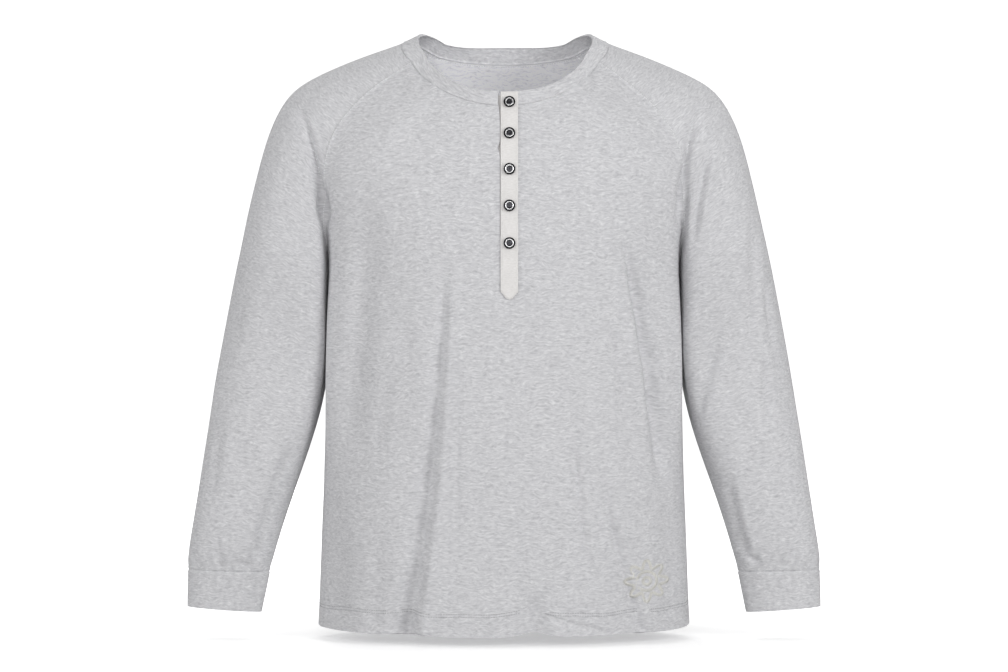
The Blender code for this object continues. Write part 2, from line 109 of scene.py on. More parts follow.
ChestRow = namedtuple("ChestRow", "front_y front_z front_turn back_y back_z back_turn")
CHEST_ROWS = (
    ChestRow(-0.1280, -0.2700, 90, 0.1180, -0.2700, 90),
    ChestRow(-0.1280, -0.2450, 85, 0.1190, -0.2350, 85),
    ChestRow(-0.1275, -0.2200, 78, 0.1200, -0.2020, 79),
    ChestRow(-0.1265, -0.1980, 71, 0.1200, -0.1720, 72),
    ChestRow(-0.1250, -0.1780, 64, 0.1185, -0.1460, 66),
    ChestRow(-0.1230, -0.1600, 58, 0.1160, -0.1230, 60),
    ChestRow(-0.1205, -0.1450, 54, 0.1120, -0.1020, 56),
    ChestRow(-0.1175, -0.1310, 52, 0.1065, -0.0820, 54),
    ChestRow(-0.1140, -0.1180, 52, 0.0995, -0.0640, 53),
    ChestRow(-0.1100, -0.1060, 54, 0.0920, -0.0470, 54),
    ChestRow(-0.1055, -0.0945, 58, 0.0835, -0.0310, 56),
    ChestRow(-0.1005, -0.0835, 65, 0.0740, -0.0155, 60),
)

CapRow = namedtuple("CapRow", "seam_x seam_z top_x top_z half_depth turn skew_x skew_z")
CAP_ROWS = (
    CapRow(0.2150, -0.2700, 0.3235, -0.2380, 0.0760, 180, 0, 0),
    CapRow(0.2170, -0.2400, 0.3140, -0.1960, 0.0755, 146, 0, 0),
    CapRow(0.2190, -0.2035, 0.3035, -0.1520, 0.0755, 124, 0.0006, 0.0006),
    CapRow(0.2200, -0.1675, 0.2935, -0.1165, 0.0755, 108, 0.0016, 0.0016),
    CapRow(0.2145, -0.1340, 0.2805, -0.0845, 0.0755, 96, 0.0030, 0.0030),
    CapRow(0.2018, -0.1071, 0.2635, -0.0595, 0.0755, 87, 0.0050, 0.0050),
    CapRow(0.1879, -0.0857, 0.2435, -0.0445, 0.0755, 80, 0.0071, 0.0071),
    CapRow(0.1698, -0.0669, 0.2210, -0.0330, 0.0750, 74, 0.0094, 0.0088),
    CapRow(0.1531, -0.0508, 0.1970, -0.0228, 0.0735, 69, 0.0112, 0.0102),
    CapRow(0.1366, -0.0374, 0.1720, -0.0130, 0.0710, 65, 0.0132, 0.0110),
    CapRow(0.1182, -0.0266, 0.1460, -0.0035, 0.0670, 62, 0.0147, 0.0113),
    CapRow(0.0988, -0.0155, 0.1215, 0.0045, 0.0612, 60, 0.0159, 0.0110),
)
CAP_MIDDLE_AT_ARM, CAP_MIDDLE_AT_NECK = 0.012, 0.006

TubeRow = namedtuple("TubeRow", "inner_x inner_z outer_x outer_z half_depth middle_y")
SLEEVE_ROWS = (
    TubeRow(0.2172, -0.3100, 0.3345, -0.2850, 0.0725, 0.017),
    TubeRow(0.2162, -0.3600, 0.3450, -0.3380, 0.0670, 0.021),
    TubeRow(0.2185, -0.4120, 0.3548, -0.3920, 0.0610, 0.019),
    TubeRow(0.2300, -0.4660, 0.3632, -0.4480, 0.0560, 0.014),
    TubeRow(0.2462, -0.5160, 0.3712, -0.5020, 0.0500, 0.008),
    TubeRow(0.2638, -0.5660, 0.3790, -0.5550, 0.0440, 0.002),
    TubeRow(0.2775, -0.6120, 0.3862, -0.6050, 0.0380, -0.003),
    TubeRow(0.2845, -0.6360, 0.3905, -0.6320, 0.0320, -0.005),
    TubeRow(0.2872, -0.6450, 0.3888, -0.6435, 0.0262, -0.006),
)
CUFF_ROWS = (
    SLEEVE_ROWS[-1],
    TubeRow(0.2920, -0.6700, 0.3900, -0.6680, 0.0235, -0.007),
    TubeRow(0.2978, -0.6975, 0.3900, -0.6910, 0.0215, -0.008),
)
# How flat each sleeve row's inner side is pressed by the body beside it, from the underarm down: 1
# is a plain ellipse, and less is squarer.
SLEEVE_LEANS = (0.32, 0.28, 0.30, 0.40, 0.66, 0.86)
# The front's edges beside the sleeves, flat out to a corner at this depth, from this share of the
# half width. Its rows gather this much towards the corner. It is full above the first of the
# heights and gone below the second.
EDGE_Y, EDGE_START, EDGE_TUCK = -0.0480, 0.707, 0.4
EDGE_HEIGHTS = (-0.400, -0.560)
SEAM_SHARE = 0.9999  # of the half width: past it a point is on the seam
PANELS = ("front", "back", "sleeve_left", "sleeve_right", "cuff_left", "cuff_right", "neckband")

# ---------------------------------------------------------------- sizes of the fine cloth

DETAIL = 3  # subdivisions of the cage
CLOTH, DOUBLE_CLOTH = 0.0011, 0.0022  # one layer, and where it is doubled
HEM_TOP = -0.684  # the cloth is turned up from here down
RAGLAN_RAISE = 0.0008  # the flat seams stand proud, over their lapped edges
BAND_DIP, CUFF_DIP = 0.0010, 0.0007  # the other panels' edges sink into their seams
SEAM_SWELL = 0.0003  # and the cloth beside them swells, over its folded edges
BAND_PROUD, CUFF_PROUD = 0.0009, 0.0004
HEM_SEAM_TOP, HEM_SIDE = -0.69, 0.222  # the body's open edge is below this and inside this
CUFF_SEAM_TOP = -0.66  # the cuffs' open edge is below here

# The folds, as soft troughs on the front (-1) or the back (1), along a path down the cloth from
# start to end. bow bends the path towards +X at its middle. Its half width and depth grow from the
# start's to the end's, and opens and closes are the shares of its length over which it comes and
# goes. lip is the ridge that it pushes up beside it, as a share of its depth: on the +X side, or
# on the -X side where it is under 0. Lengths and places are in millimetres in this table alone.
Fold = namedtuple("Fold", "face x0 z0 x1 z1 bow wide0 wide1 deep0 deep1 lip opens closes")
FOLDS_IN_MM = (
    # front of the body, left half
    (-1, -69, -238, -118.5, -712, 9, 4.2, 12.5, 4, 13.5, 0.55, 0.25, 0),
    (-1, -54.5, -350, -59, -612, 1, 4.2, 4.2, 2.2, 2.6, 0.5, 0.3, 0.3),
    (-1, -164, -170, -194, -530, 7, 13, 13, 4.2, 6, -0.5, 0.4, 0.4),
    (-1, -116, -315, -122, -400, 0, 10, 10, 1.7, 1.7, 0.3, 0.4, 0.4),
    (-1, -136, -405, -154, -520, 0, 7, 7, 1.4, 1.8, 0.3, 0.4, 0.4),
    (-1, -196, -560, -204, -700, 0, 10, 12, 2, 3, 0.3, 0.4, 0.1),
    (-1, -148, -600, -156, -712, 0, 8, 10, 1.2, 2.2, 0.3, 0.4, 0),
    # front of the body, right half
    (-1, 142, -228, 197.5, -560, 4, 5, 10.5, 8.8, 16.5, -0.3, 0.2, 0.3),
    (-1, 122, -318, 148, -484, 3, 4.2, 4.2, 3, 3, 0.5, 0.3, 0.3),
    (-1, 81.5, -445, 106.5, -675, -2, 4.2, 4.8, 3.6, 3.8, 0.5, 0.3, 0.3),
    (-1, 115, -490, 166, -712, -6, 4.2, 6, 3.2, 5.6, 0.5, 0.3, 0),
    (-1, 21.5, -560, 15.5, -650, 0, 4, 4, 1.4, 1.6, 0.4, 0.4, 0.4),
    (-1, 111.5, -665, 113, -716, 0, 4, 4.5, 2, 2.6, 0.4, 0.4, 0),
    (-1, 38, -692, 118, -712, 0, 3.4, 3.4, 1, 1.2, 0.4, 0.3, 0),
    (-1, 147, -182, 157, -240, 0, 7.5, 7.5, 2.2, 2.2, 0.3, 0.4, 0.4),
    (-1, 196, -545, 204, -705, 0, 10, 12, 2.2, 3, 0.3, 0.4, 0.1),
    (-1, 38, -660, 37, -716, 0, 10, 12, 2, 4, 0.3, 0.5, 0),
    # left sleeve, from the front
    (-1, -247, -470, -304, -638, -6, 6, 6.5, 2.8, 3.6, -0.4, 0.3, 0.1),
    (-1, -307, -640, -328, -634, 0, 3.4, 3.4, 1.8, 1.8, 0, 0.3, 0.3),
    (-1, -344, -430, -358, -580, 0, 6, 7, 2, 2.2, 0.4, 0.4, 0.4),
    (-1, -322, -320, -332, -375, 0, 6.5, 6.5, 2, 2, 0.4, 0.4, 0.4),
    (-1, -236, -345, -247, -440, 0, 7.5, 7.5, 2.8, 2.8, -0.4, 0.4, 0.4),
    (-1, -352, -592, -346, -643, 0, 4.5, 4.5, 1.4, 2, 0.4, 0.4, 0.05),
    # right sleeve, from the front
    (-1, 251.5, -118, 226, -262, -2, 5, 6, 4.6, 5, 0.5, 0.3, 0.4),
    (-1, 299, -195, 295.5, -450, 7, 5.8, 6.5, 3.4, 3.4, 0.5, 0.35, 0.35),
    (-1, 314, -275, 333, -392, 0, 4.5, 4.5, 2.2, 2.2, 0.5, 0.35, 0.35),
    (-1, 264, -350, 235, -462, -1, 6.6, 7, 3.8, 4.4, 0.4, 0.3, 0.25),
    (-1, 311, -362, 333, -468, 0, 4.2, 4.2, 2.4, 2.4, 0.5, 0.3, 0.3),
    (-1, 316.5, -390, 326, -492, 0, 4, 4, 2, 2, 0.4, 0.3, 0.3),
    (-1, 273, -520, 298, -632, -3, 5.8, 6.2, 3, 3.6, 0.4, 0.35, 0.15),
    (-1, 291, -626.2, 318, -637.2, 0, 3.4, 3.4, 2.2, 2.2, 0, 0.3, 0.3),
    (-1, 352, -597, 345, -643, 0, 4.5, 4.5, 1.6, 2, 0.4, 0.4, 0.05),
    (-1, 334, -480, 348, -560, 0, 6, 6, 1.6, 1.6, 0.4, 0.4, 0.4),
    # back of the body
    (1, -150, -230, -105, -680, 8, 6, 14, 3.6, 9, 0.5, 0.3, 0.2),
    (1, 128, -290, 80, -708, -6, 5, 13, 3, 9.5, 0.5, 0.3, 0),
    (1, 30, -190, 12, -440, 4, 14, 16, 3.2, 3.2, 0.3, 0.4, 0.4),
    (1, -60, -430, -30, -708, 4, 5, 11, 2.2, 5.5, 0.5, 0.35, 0),
    (1, 175, -420, 160, -690, -4, 5.5, 11, 2.4, 4.6, 0.4, 0.3, 0.2),
    (1, -188, -380, -180, -630, 3, 6, 10, 2.4, 4, 0.4, 0.3, 0.3),
    (1, 40, -500, 28, -640, 2, 4.2, 4.2, 2.2, 2.2, 0.4, 0.3, 0.3),
    (1, -100, -300, -88, -440, 0, 5, 5, 2, 2, 0.4, 0.4, 0.4),
    (1, 206, -215, 150, -262, 6, 7, 9, 3.4, 3.4, 0.4, 0.2, 0.5),
    (1, -206, -215, -150, -272, -6, 7, 9, 3.4, 3.4, 0.4, 0.2, 0.5),
    # back of the sleeves, gathered at the elbows
    (1, 246, -320, 325, -385, 8, 8, 11, 5, 4.4, 0.4, 0.25, 0.4),
    (1, 262, -380, 335, -420, 6, 6, 9, 3.6, 3.6, 0.4, 0.25, 0.4),
    (1, 280, -515, 340, -470, 6, 7, 10, 3, 2.6, 0.4, 0.3, 0.4),
    (1, -248, -312, -330, -372, -8, 8, 11, 4.8, 4.4, 0.4, 0.25, 0.4),
    (1, -260, -392, -338, -424, -6, 6, 9, 4, 3.6, 0.4, 0.25, 0.4),
    (1, -285, -520, -345, -480, -6, 7, 10, 2.8, 2.6, 0.4, 0.3, 0.4),
    (1, 318, -590, 322, -643, 0, 4.5, 5.5, 1.4, 2.2, 0.4, 0.4, 0.05),
    (1, -330, -595, -334, -643, 0, 4.5, 5.5, 1.4, 2.2, 0.4, 0.4, 0.05),
)
FOLDS = [Fold(row[0], *(size / 1000 for size in row[1:10]), *row[10:]) for row in FOLDS_IN_MM]

# The creases where the sleeves fall against the body: their lowest points and their tops.
Crease = namedtuple("Crease", "face low_x low_z top_x top_z curve depth body_width sleeve_width")
CREASES = (
    Crease(-1, -0.2150, -0.2300, -0.2485, -0.0780, 1.6, 0.0130, 0.0032, 0.0070),
    Crease(-1, 0.2125, -0.2300, 0.2360, -0.0780, 1.7, 0.0130, 0.0038, 0.0050),
    Crease(1, -0.2200, -0.2300, -0.2460, -0.0820, 2.0, 0.0100, 0.0036, 0.0090),
    Crease(1, 0.2200, -0.2300, 0.2490, -0.0780, 2.0, 0.0110, 0.0036, 0.0090),
)
FOLD_WAVER, WAVER_RATE = 0.14, 95  # how much a fold's depth comes and goes along it, and how fast
FOLD_END = 0.006  # how far past its ends a fold dies away
LIP_REACH = 1.7  # how many half widths from the fold's middle its ridge is
FACES = 0.02  # the least that the cloth turns to a fold's side for the fold to be in it
CREASE_OPENS = 0.2  # the share of a crease's height over which it comes

# Places where the hem's edge lifts (rise over 0) or hangs, and how far it moves back there. It
# begins at this height, and is full this far below.
HEM_WAVE_TOP, HEM_WAVE_FADE = -0.640, 0.070
HemWave = namedtuple("HemWave", "face x half_width rise back")
HEM_WAVES = (
    HemWave(-1, 0.036, 0.020, 0.0050, 0.006),
    HemWave(-1, -0.118, 0.024, 0.0022, 0.004),
    HemWave(-1, 0.150, 0.022, 0.0014, 0.003),
    HemWave(-1, -0.030, 0.040, -0.0012, -0.002),
    HemWave(1, 0.080, 0.024, 0.0034, -0.005),
    HemWave(1, -0.036, 0.022, 0.0030, -0.004),
    HemWave(1, -0.150, 0.030, 0.0020, -0.003),
)


def smooth_step(value):
    value = min(max(value, 0.0), 1.0)
    return value * value * (3 - 2 * value)


def smooth_steps(values):
    values = np.clip(values, 0.0, 1.0)
    return values * values * (3 - 2 * values)


# ---------------------------------------------------------------- the cage, as in the CAD model


def arch(seam_middle, tip, across, turn, share):
    """A point on an arc bent to pass over tip, at share from -1 to 1 of its turn. Its ends lie
    either side of seam_middle, by across at a turn of 90 degrees."""
    turn = math.radians(turn)
    angle = share * turn
    lift = (math.cos(angle) - math.cos(turn)) / (1 - math.cos(turn))
    return seam_middle + (tip - seam_middle) * lift + across * math.sin(angle)


def squared(point, half_width, turn):
    push = BODY_SQUARENESS * (turn / 90) ** 4
    across = min(abs(point.x) / half_width, 1.0)
    bulge = 1 + push * across * across * (1 - across * across) * 2
    return Vector((point.x, point.y * bulge, point.z))


def flat_edged(row, height):
    """A row of the front with its outer parts flat, up to a corner close to the side seams."""
    half_width, seam_y = row[-1].x, row[-1].y
    tip_y = min(point.y for point in row)
    corner = max((EDGE_Y - seam_y) / (tip_y - seam_y), 0.0)
    press_share = smooth_step((height - EDGE_HEIGHTS[1]) / (EDGE_HEIGHTS[0] - EDGE_HEIGHTS[1]))
    made = []
    for point in row:
        across = min(abs(point.x) / half_width, 1.0)
        if EDGE_START < across < SEAM_SHARE:
            out = (across - EDGE_START) / (1 - EDGE_START)
            level = EDGE_START + (corner - EDGE_START) * out
            gain = max(level - (point.y - seam_y) / (tip_y - seam_y), 0.0) * press_share
            tuck = 1 - (1 - across) * (1 - EDGE_TUCK * press_share * out**3)
            x = math.copysign(half_width * tuck, point.x)
            point = Vector((x, point.y + gain * (tip_y - seam_y), point.z))
        made.append(point)
    return made


def shares(steps):
    return [-1 + 2 * i / steps for i in range(steps + 1)]


def body_row(half_width, seam_y, seam_z, tip_y, tip_z, turn):
    seam_middle = Vector((0, seam_y, seam_z))
    tip = Vector((0, tip_y, tip_z))
    across = Vector((half_width / math.sin(math.radians(turn)), 0, 0))
    row = [arch(seam_middle, tip, across, turn, share) for share in shares(BODY_STEPS)]
    return [squared(point, half_width, turn) for point in row]


def level_row(row, depth, middle_z):
    points = body_row(row.half_width, 0, 0, depth, 1, 90)
    if depth < 0:
        points = flat_edged(points, row.side_z)
    dip = middle_z - row.side_z
    return [Vector((p.x, p.y, row.side_z + dip * max(p.z, 0) ** HEM_LEVELLING)) for p in points]


def cap_middle_y(index):
    share = index / (len(CAP_ROWS) - 1)
    return CAP_MIDDLE_AT_ARM + (CAP_MIDDLE_AT_NECK - CAP_MIDDLE_AT_ARM) * share


def chest_row(chest, cap, index, facing):
    reach = Vector((-cap.skew_x, cap.half_depth, cap.skew_z)) * math.sin(math.radians(cap.turn))
    seam = Vector((cap.seam_x, cap_middle_y(index), cap.seam_z)) + reach * facing
    if facing < 0:
        row = body_row(*seam, chest.front_y, chest.front_z, chest.front_turn)
        return flat_edged(row, cap.seam_z)
    return body_row(*seam, chest.back_y, chest.back_z, chest.back_turn)


def panel_rows(facing):
    if facing < 0:
        rows = [level_row(row, -row.front, row.middle_z) for row in BODY_ROWS]
    else:
        rows = [level_row(row, row.back, row.side_z) for row in BODY_ROWS]
    pairs = enumerate(zip(CHEST_ROWS, CAP_ROWS))
    return rows + [chest_row(chest, cap, index, facing) for index, (chest, cap) in pairs]


def leaning_arch(seam_middle, tip, across, turn, share, lean):
    """As arch, with its inner ends, past 90 degrees, squared up by lean."""
    turn = math.radians(turn)
    angle = share * turn
    cosine, sine = math.cos(angle), math.sin(angle)
    if cosine < 0:
        end_cosine, end_sine = math.cos(turn), abs(math.sin(turn))
        cosine = end_cosine * (cosine / end_cosine) ** lean
        rise = (abs(sine) - end_sine) / (1 - end_sine)
        sine = math.copysign(end_sine + (1 - end_sine) * max(rise, 0) ** lean, sine)
    lift = (cosine - math.cos(turn)) / (1 - math.cos(turn))
    return seam_middle + (tip - seam_middle) * lift + across * sine


def tube_row(row, side, lean=1.0):
    inner = Vector((side * row.inner_x, row.middle_y, row.inner_z))
    outer = Vector((side * row.outer_x, row.middle_y, row.outer_z))
    across = Vector((0, row.half_depth, 0))
    places = shares(SLEEVE_STEPS)
    return [leaning_arch(inner, outer, across, 180, share, lean) for share in places]


def cap_row(cap, index, side):
    seam_middle = Vector((side * cap.seam_x, cap_middle_y(index), cap.seam_z))
    tip = Vector((side * cap.top_x, cap_middle_y(index), cap.top_z))
    across = Vector((-side * cap.skew_x, cap.half_depth, cap.skew_z))
    places = shares(SLEEVE_STEPS)
    lean = SLEEVE_LEANS[0]
    return [leaning_arch(seam_middle, tip, across, cap.turn, share, lean) for share in places]


def sleeve_rows(side):
    leans = SLEEVE_LEANS + (1.0,) * (len(SLEEVE_ROWS) - len(SLEEVE_LEANS))
    below = [tube_row(row, side, lean) for row, lean in zip(SLEEVE_ROWS[::-1], leans[::-1])]
    return below + [cap_row(cap, index, side) for index, cap in enumerate(CAP_ROWS)]


def cuff_rows(side):
    return [tube_row(row, side) for row in CUFF_ROWS]


def band_rows():
    left, right = sleeve_rows(-1)[-1], sleeve_rows(1)[-1]
    ring = panel_rows(-1)[-1] + right[1:] + panel_rows(1)[-1][::-1][1:] + left[::-1][1:]
    middle = Vector((*NECK_MIDDLE, 0))
    rows = [ring]
    for share in (0.5, 1.0):
        row = []
        for point in ring:
            inward = middle - point
            inward.z = 0
            inward.normalize()
            side = inward.x**2
            lean = BAND_LEAN + BAND_LEAN_GAINED_AT_SIDE * side
            rise = BAND_RISE - BAND_RISE_LOST_AT_SIDE * side
            rounding = BAND_ROUNDING * math.sin(math.pi * share)
            row.append(point + inward * (lean * share - rounding) + Vector((0, 0, rise * share)))
        rows.append(row)
    return rows


def places_on_cloth(bm):
    return bm.loops.layers.uv.get("cloth") or bm.loops.layers.uv.new("cloth")


def lengths(points):
    """How far along a line each of its points lies."""
    total, found = 0.0, [0.0]
    for a, b in zip(points, points[1:]):
        total += (b - a).length
        found.append(total)
    return found


def cloth_places(rows, upright):
    """Where each point lies on the flat cloth, in metres: along its row from the row's middle, and
    along the panel. On the body, which is upright, that is its height."""
    middle = len(rows[0]) // 2
    along = lengths([row[middle] for row in rows])
    places = []
    for row, up in zip(rows, along):
        across = lengths(row)
        heights = [point.z if upright else up for point in row]
        places.append([(reach - across[middle], at) for reach, at in zip(across, heights)])
    return places


def loft(cage, rows, panel, upright=False):
    layer = places_on_cloth(cage)
    rings = [[cage.verts.new(point) for point in row] for row in rows]
    places = cloth_places(rows, upright)
    for r in range(len(rows) - 1):
        for i in range(len(rows[0]) - 1):
            corners = ((r, i), (r, i + 1), (r + 1, i + 1), (r + 1, i))
            face = cage.faces.new([rings[a][b] for a, b in corners])
            face.material_index = PANELS.index(panel)
            for loop, (a, b) in zip(face.loops, corners):
                loop[layer].uv = places[a][b]


def shift_neck(cage):
    for vert in cage.verts:
        past = (abs(vert.co.x) - NECK_SHIFT_REACH) / NECK_SHIFT_FADE
        risen = (vert.co.z - NECK_SHIFT_LOW) / (NECK_SHIFT_HIGH - NECK_SHIFT_LOW)
        vert.co.x += NECK_SHIFT * smooth_step(1 - past) * smooth_step(risen)


def smooth_shoulders(cage):
    sleeves = {PANELS.index("sleeve_left"), PANELS.index("sleeve_right")}
    seam = set()
    for vert in cage.verts:
        panels = {face.material_index for face in vert.link_faces}
        if panels & sleeves and panels - sleeves and vert.co.z > ARMPIT_FOLD_TOP:
            seam.add(vert)
    near = set(seam)
    for vert in seam:
        near |= {edge.other_vert(vert) for edge in vert.link_edges}
    band = PANELS.index("neckband")
    near = [v for v in near if band not in {face.material_index for face in v.link_faces}]
    body = {PANELS.index("front"), PANELS.index("back")}
    chest = [
        vert
        for vert in cage.verts
        if CHEST_LOW < vert.co.z < CHEST_HIGH
        and {face.material_index for face in vert.link_faces} <= body
    ]
    for _ in range(SMOOTHINGS):
        for verts, sideways in ((near, True), (chest, False)):
            bmesh.ops.smooth_vert(
                cage, verts=verts, factor=0.5,
                use_axis_x=sideways, use_axis_y=True, use_axis_z=True,
            )


def build_cage():
    cage = bmesh.new()
    loft(cage, panel_rows(-1), "front", upright=True)
    loft(cage, panel_rows(1), "back", upright=True)
    loft(cage, band_rows(), "neckband")
    for side, name in ((-1, "left"), (1, "right")):
        loft(cage, sleeve_rows(side), "sleeve_" + name)
        loft(cage, cuff_rows(side), "cuff_" + name)
    bmesh.ops.remove_doubles(cage, verts=cage.verts, dist=1e-5)
    bmesh.ops.recalc_face_normals(cage, faces=cage.faces)
    middle_front = min(cage.faces, key=lambda face: face.calc_center_median().y)
    if middle_front.normal.y > 0:
        bmesh.ops.reverse_faces(cage, faces=cage.faces)
    shift_neck(cage)
    smooth_shoulders(cage)
    return cage


# ---------------------------------------------------------------- the fine cloth


def subdivided(cage):
    """The cage as one smooth open surface, with its panels and its places on the flat cloth."""
    mesh = bpy.data.meshes.new("cage")
    cage.to_mesh(mesh)
    cage.free()
    helper = bpy.data.objects.new("cage", mesh)
    bpy.context.scene.collection.objects.link(helper)
    smooth = helper.modifiers.new("smooth", "SUBSURF")
    smooth.levels = smooth.render_levels = DETAIL
    smooth.boundary_smooth = "PRESERVE_CORNERS"
    graph = bpy.context.evaluated_depsgraph_get()
    fine = bpy.data.meshes.new_from_object(helper.evaluated_get(graph))
    bpy.data.objects.remove(helper)
    bpy.data.meshes.remove(mesh)
    return fine


def numbers(collection, name, width):
    found = np.empty(len(collection) * width, np.float32)
    collection.foreach_get(name, found)
    return found.reshape(-1, width).astype(np.float64)


def fold_depths(points, facing):
    """How far each point is pressed in by the folds."""
    x, z = points[:, 0], points[:, 2]
    total = np.zeros(len(points))
    for fold in FOLDS:
        run = np.array((fold.x1 - fold.x0, fold.z1 - fold.z0))
        length = np.hypot(*run)
        along = ((x - fold.x0) * run[0] + (z - fold.z0) * run[1]) / length**2
        off = ((z - fold.z0) * run[0] - (x - fold.x0) * run[1]) / length
        share = np.clip(along, 0, 1)
        beyond = (along - share) * length
        off = off - fold.bow * 4 * share * (1 - share)
        width = fold.wide0 + (fold.wide1 - fold.wide0) * share
        depth = fold.deep0 + (fold.deep1 - fold.deep0) * share
        waver = 1 + FOLD_WAVER * np.sin(share * length * WAVER_RATE + fold.x0 * 90)
        comes = smooth_steps(share / max(fold.opens, 0.01))
        goes = smooth_steps((1 - share) / max(fold.closes, 0.01)) if fold.closes else 1
        trough = np.exp(-((off / width) ** 2))
        lip_place = math.copysign(LIP_REACH, fold.lip) * width
        crest = abs(fold.lip) * np.exp(-(((off - lip_place) / width) ** 2))
        shape = (trough - crest) * np.exp(-((beyond / FOLD_END) ** 2))
        total += np.where(facing * fold.face > FACES, depth * waver * comes * goes * shape, 0)
    return total


def crease_depths(points, facing):
    """The creases in which the sleeves fall against the body, below the shoulders: steep on the
    body's side and soft on the sleeve's."""
    total = np.zeros(len(points))
    for crease in CREASES:
        side = math.copysign(1, crease.low_x)
        rise = (points[:, 2] - crease.low_z) / (crease.top_z - crease.low_z)
        share = np.clip(rise, 0, 1)
        line = crease.low_x + (crease.top_x - crease.low_x) * share**crease.curve
        off = (points[:, 0] - line) * side  # over 0 on the sleeve's side
        width = np.where(off > 0, crease.sleeve_width * (1.1 - 0.5 * share), crease.body_width)
        depth = crease.depth * (1 - share) ** 0.5 * smooth_steps(rise / CREASE_OPENS)
        near = facing * crease.face > FACES
        total += np.where(near & (rise < 1), depth * np.exp(-((np.abs(off) / width) ** 1.4)), 0)
    return total


def undulations(points, facing):
    """Slow, slight unevenness, the same each run."""
    x, y, z = points.T
    waves = (
        (31, 11, 0.4, 0.00055),
        (47, -9, 1.7, 0.00045),
        (22, 29, 2.9, 0.00050),
        (73, 17, 4.2, 0.00028),
        (58, -41, 5.1, 0.00022),
        (112, 36, 0.9, 0.00012),
    )
    total = np.zeros(len(points))
    for across, up, phase, size in waves:
        total += size * np.sin(across * (x + 0.6 * facing * y) + up * z + phase + facing)
    return total


def hem_moves(points, facing):
    """Up and back moves of the cloth near the hem, strongest at its edge."""
    x, z = points[:, 0], points[:, 2]
    reach = smooth_steps((HEM_WAVE_TOP - z) / HEM_WAVE_FADE)
    moves = np.zeros_like(points)
    for wave in HEM_WAVES:
        near = np.exp(-(((x - wave.x) / wave.half_width) ** 2)) * (facing * wave.face > 0) * reach
        moves[:, 2] += wave.rise * near
        moves[:, 1] += wave.back * near
    return moves


PUCKER_SIDE = 0.25  # the hem is inside this, and the cuffs are outside
HEM_PUCKERS, HEM_PUCKER_Z, HEM_PUCKER_REACH = 0.00032, -0.692, 0.011
CUFF_PUCKERS, CUFF_PUCKER_Z, CUFF_PUCKER_REACH = 0.0009, -0.634, 0.010
WRIST = (0.338, -0.005)  # the middle of each cuff, from the side


def hem_puckers(points, facing):
    """Short ripples that the hem's stitching draws into its turned cloth."""
    x, z = points[:, 0], points[:, 2]
    turned = np.exp(-(((z - HEM_PUCKER_Z) / HEM_PUCKER_REACH) ** 2)) * (np.abs(x) < PUCKER_SIDE)
    ripple = np.sin(x * 520 + 2.0 * np.sin(x * 61)) * (0.6 + 0.4 * np.sin(x * 97 + facing))
    return HEM_PUCKERS * turned * ripple


def cuff_puckers(points):
    """The sleeve's fullness, gathered a little into its cuff."""
    x, y, z = points.T
    above = np.exp(-(((z - CUFF_PUCKER_Z) / CUFF_PUCKER_REACH) ** 2)) * (np.abs(x) > PUCKER_SIDE)
    turn = np.arctan2(y - WRIST[1], np.abs(x) - WRIST[0])
    ripple = np.sin(turn * 13 + 1.5 * np.sin(turn * 3)) * (0.6 + 0.4 * np.sin(turn * 5 + x * 9))
    return CUFF_PUCKERS * above * ripple


SIDE_FADE = 0.30  # folds fade as the cloth's turn to the front or back falls below this
# The cloth is even inside this distance of the neck's middle, where depth counts this much more,
# unless it is lower than CALM_TOP.
NECK_CALM, NECK_CALM_FADE, NECK_DEPTH_SHARE = 0.128, 0.03, 1.3
CALM_TOP, CALM_FADE = -0.06, 0.05


def press(fine):
    """Presses the folds, ripples and waves into the whole cloth."""
    points = numbers(fine.vertices, "co", 3)
    normals = numbers(fine.vertex_normals, "vector", 3)
    facing = np.sign(normals[:, 1])
    firm = smooth_steps(np.abs(normals[:, 1]) / SIDE_FADE)  # nothing jumps at the sides
    from_neck = np.hypot(points[:, 0], points[:, 1] * NECK_DEPTH_SHARE)
    off_neck = smooth_steps((from_neck - NECK_CALM) / NECK_CALM_FADE)
    low = smooth_steps((CALM_TOP - points[:, 2]) / CALM_FADE)
    inward = (fold_depths(points, normals[:, 1]) + crease_depths(points, normals[:, 1])) * firm
    outward = undulations(points, facing) * firm * np.maximum(off_neck, low) - inward
    outward += hem_puckers(points, facing) * firm + cuff_puckers(points)
    points += normals * outward[:, None] + hem_moves(points, normals[:, 1])
    fine.vertices.foreach_set("co", points.astype(np.float32).ravel())
    fine.update()


def part_panel(fine, name):
    """One panel of the fine cloth as a bmesh, and its vertices' normals on the whole cloth."""
    panel = bmesh.new()
    panel.from_mesh(fine)
    panel.normal_update()
    wanted = PANELS.index(name)
    others = [face for face in panel.faces if face.material_index != wanted]
    bmesh.ops.delete(panel, geom=others, context="FACES")
    normals = {vert: vert.normal.copy() for vert in panel.verts}
    return panel, normals


def is_seam(vert, name):
    """Whether an edge vertex lies on a seam, and not at an open hem, cuff or neck."""
    if not vert.is_boundary:
        return False
    if name in ("front", "back"):
        return vert.co.z > HEM_SEAM_TOP or abs(vert.co.x) > HEM_SIDE
    return not name.startswith("cuff") or vert.co.z > CUFF_SEAM_TOP


NECK_SEAM_LOW, NECK_SEAM_REACH = -0.02, 0.15  # the neck seam is above this and inside this
CUFF_SEAM_HIGH, CUFF_SEAM_SIDE = -0.60, 0.25  # the cuffs' seams are below this and outside this


def seam_dip(vert, name):
    """How far an edge sinks into its seam, or stands proud of it where this is under 0."""
    x, y, z = vert.co
    if name == "neckband" or z > NECK_SEAM_LOW and math.hypot(x, y) < NECK_SEAM_REACH:
        return BAND_DIP
    if name.startswith("cuff") or z < CUFF_SEAM_HIGH and abs(x) > CUFF_SEAM_SIDE:
        return CUFF_DIP
    return -RAGLAN_RAISE


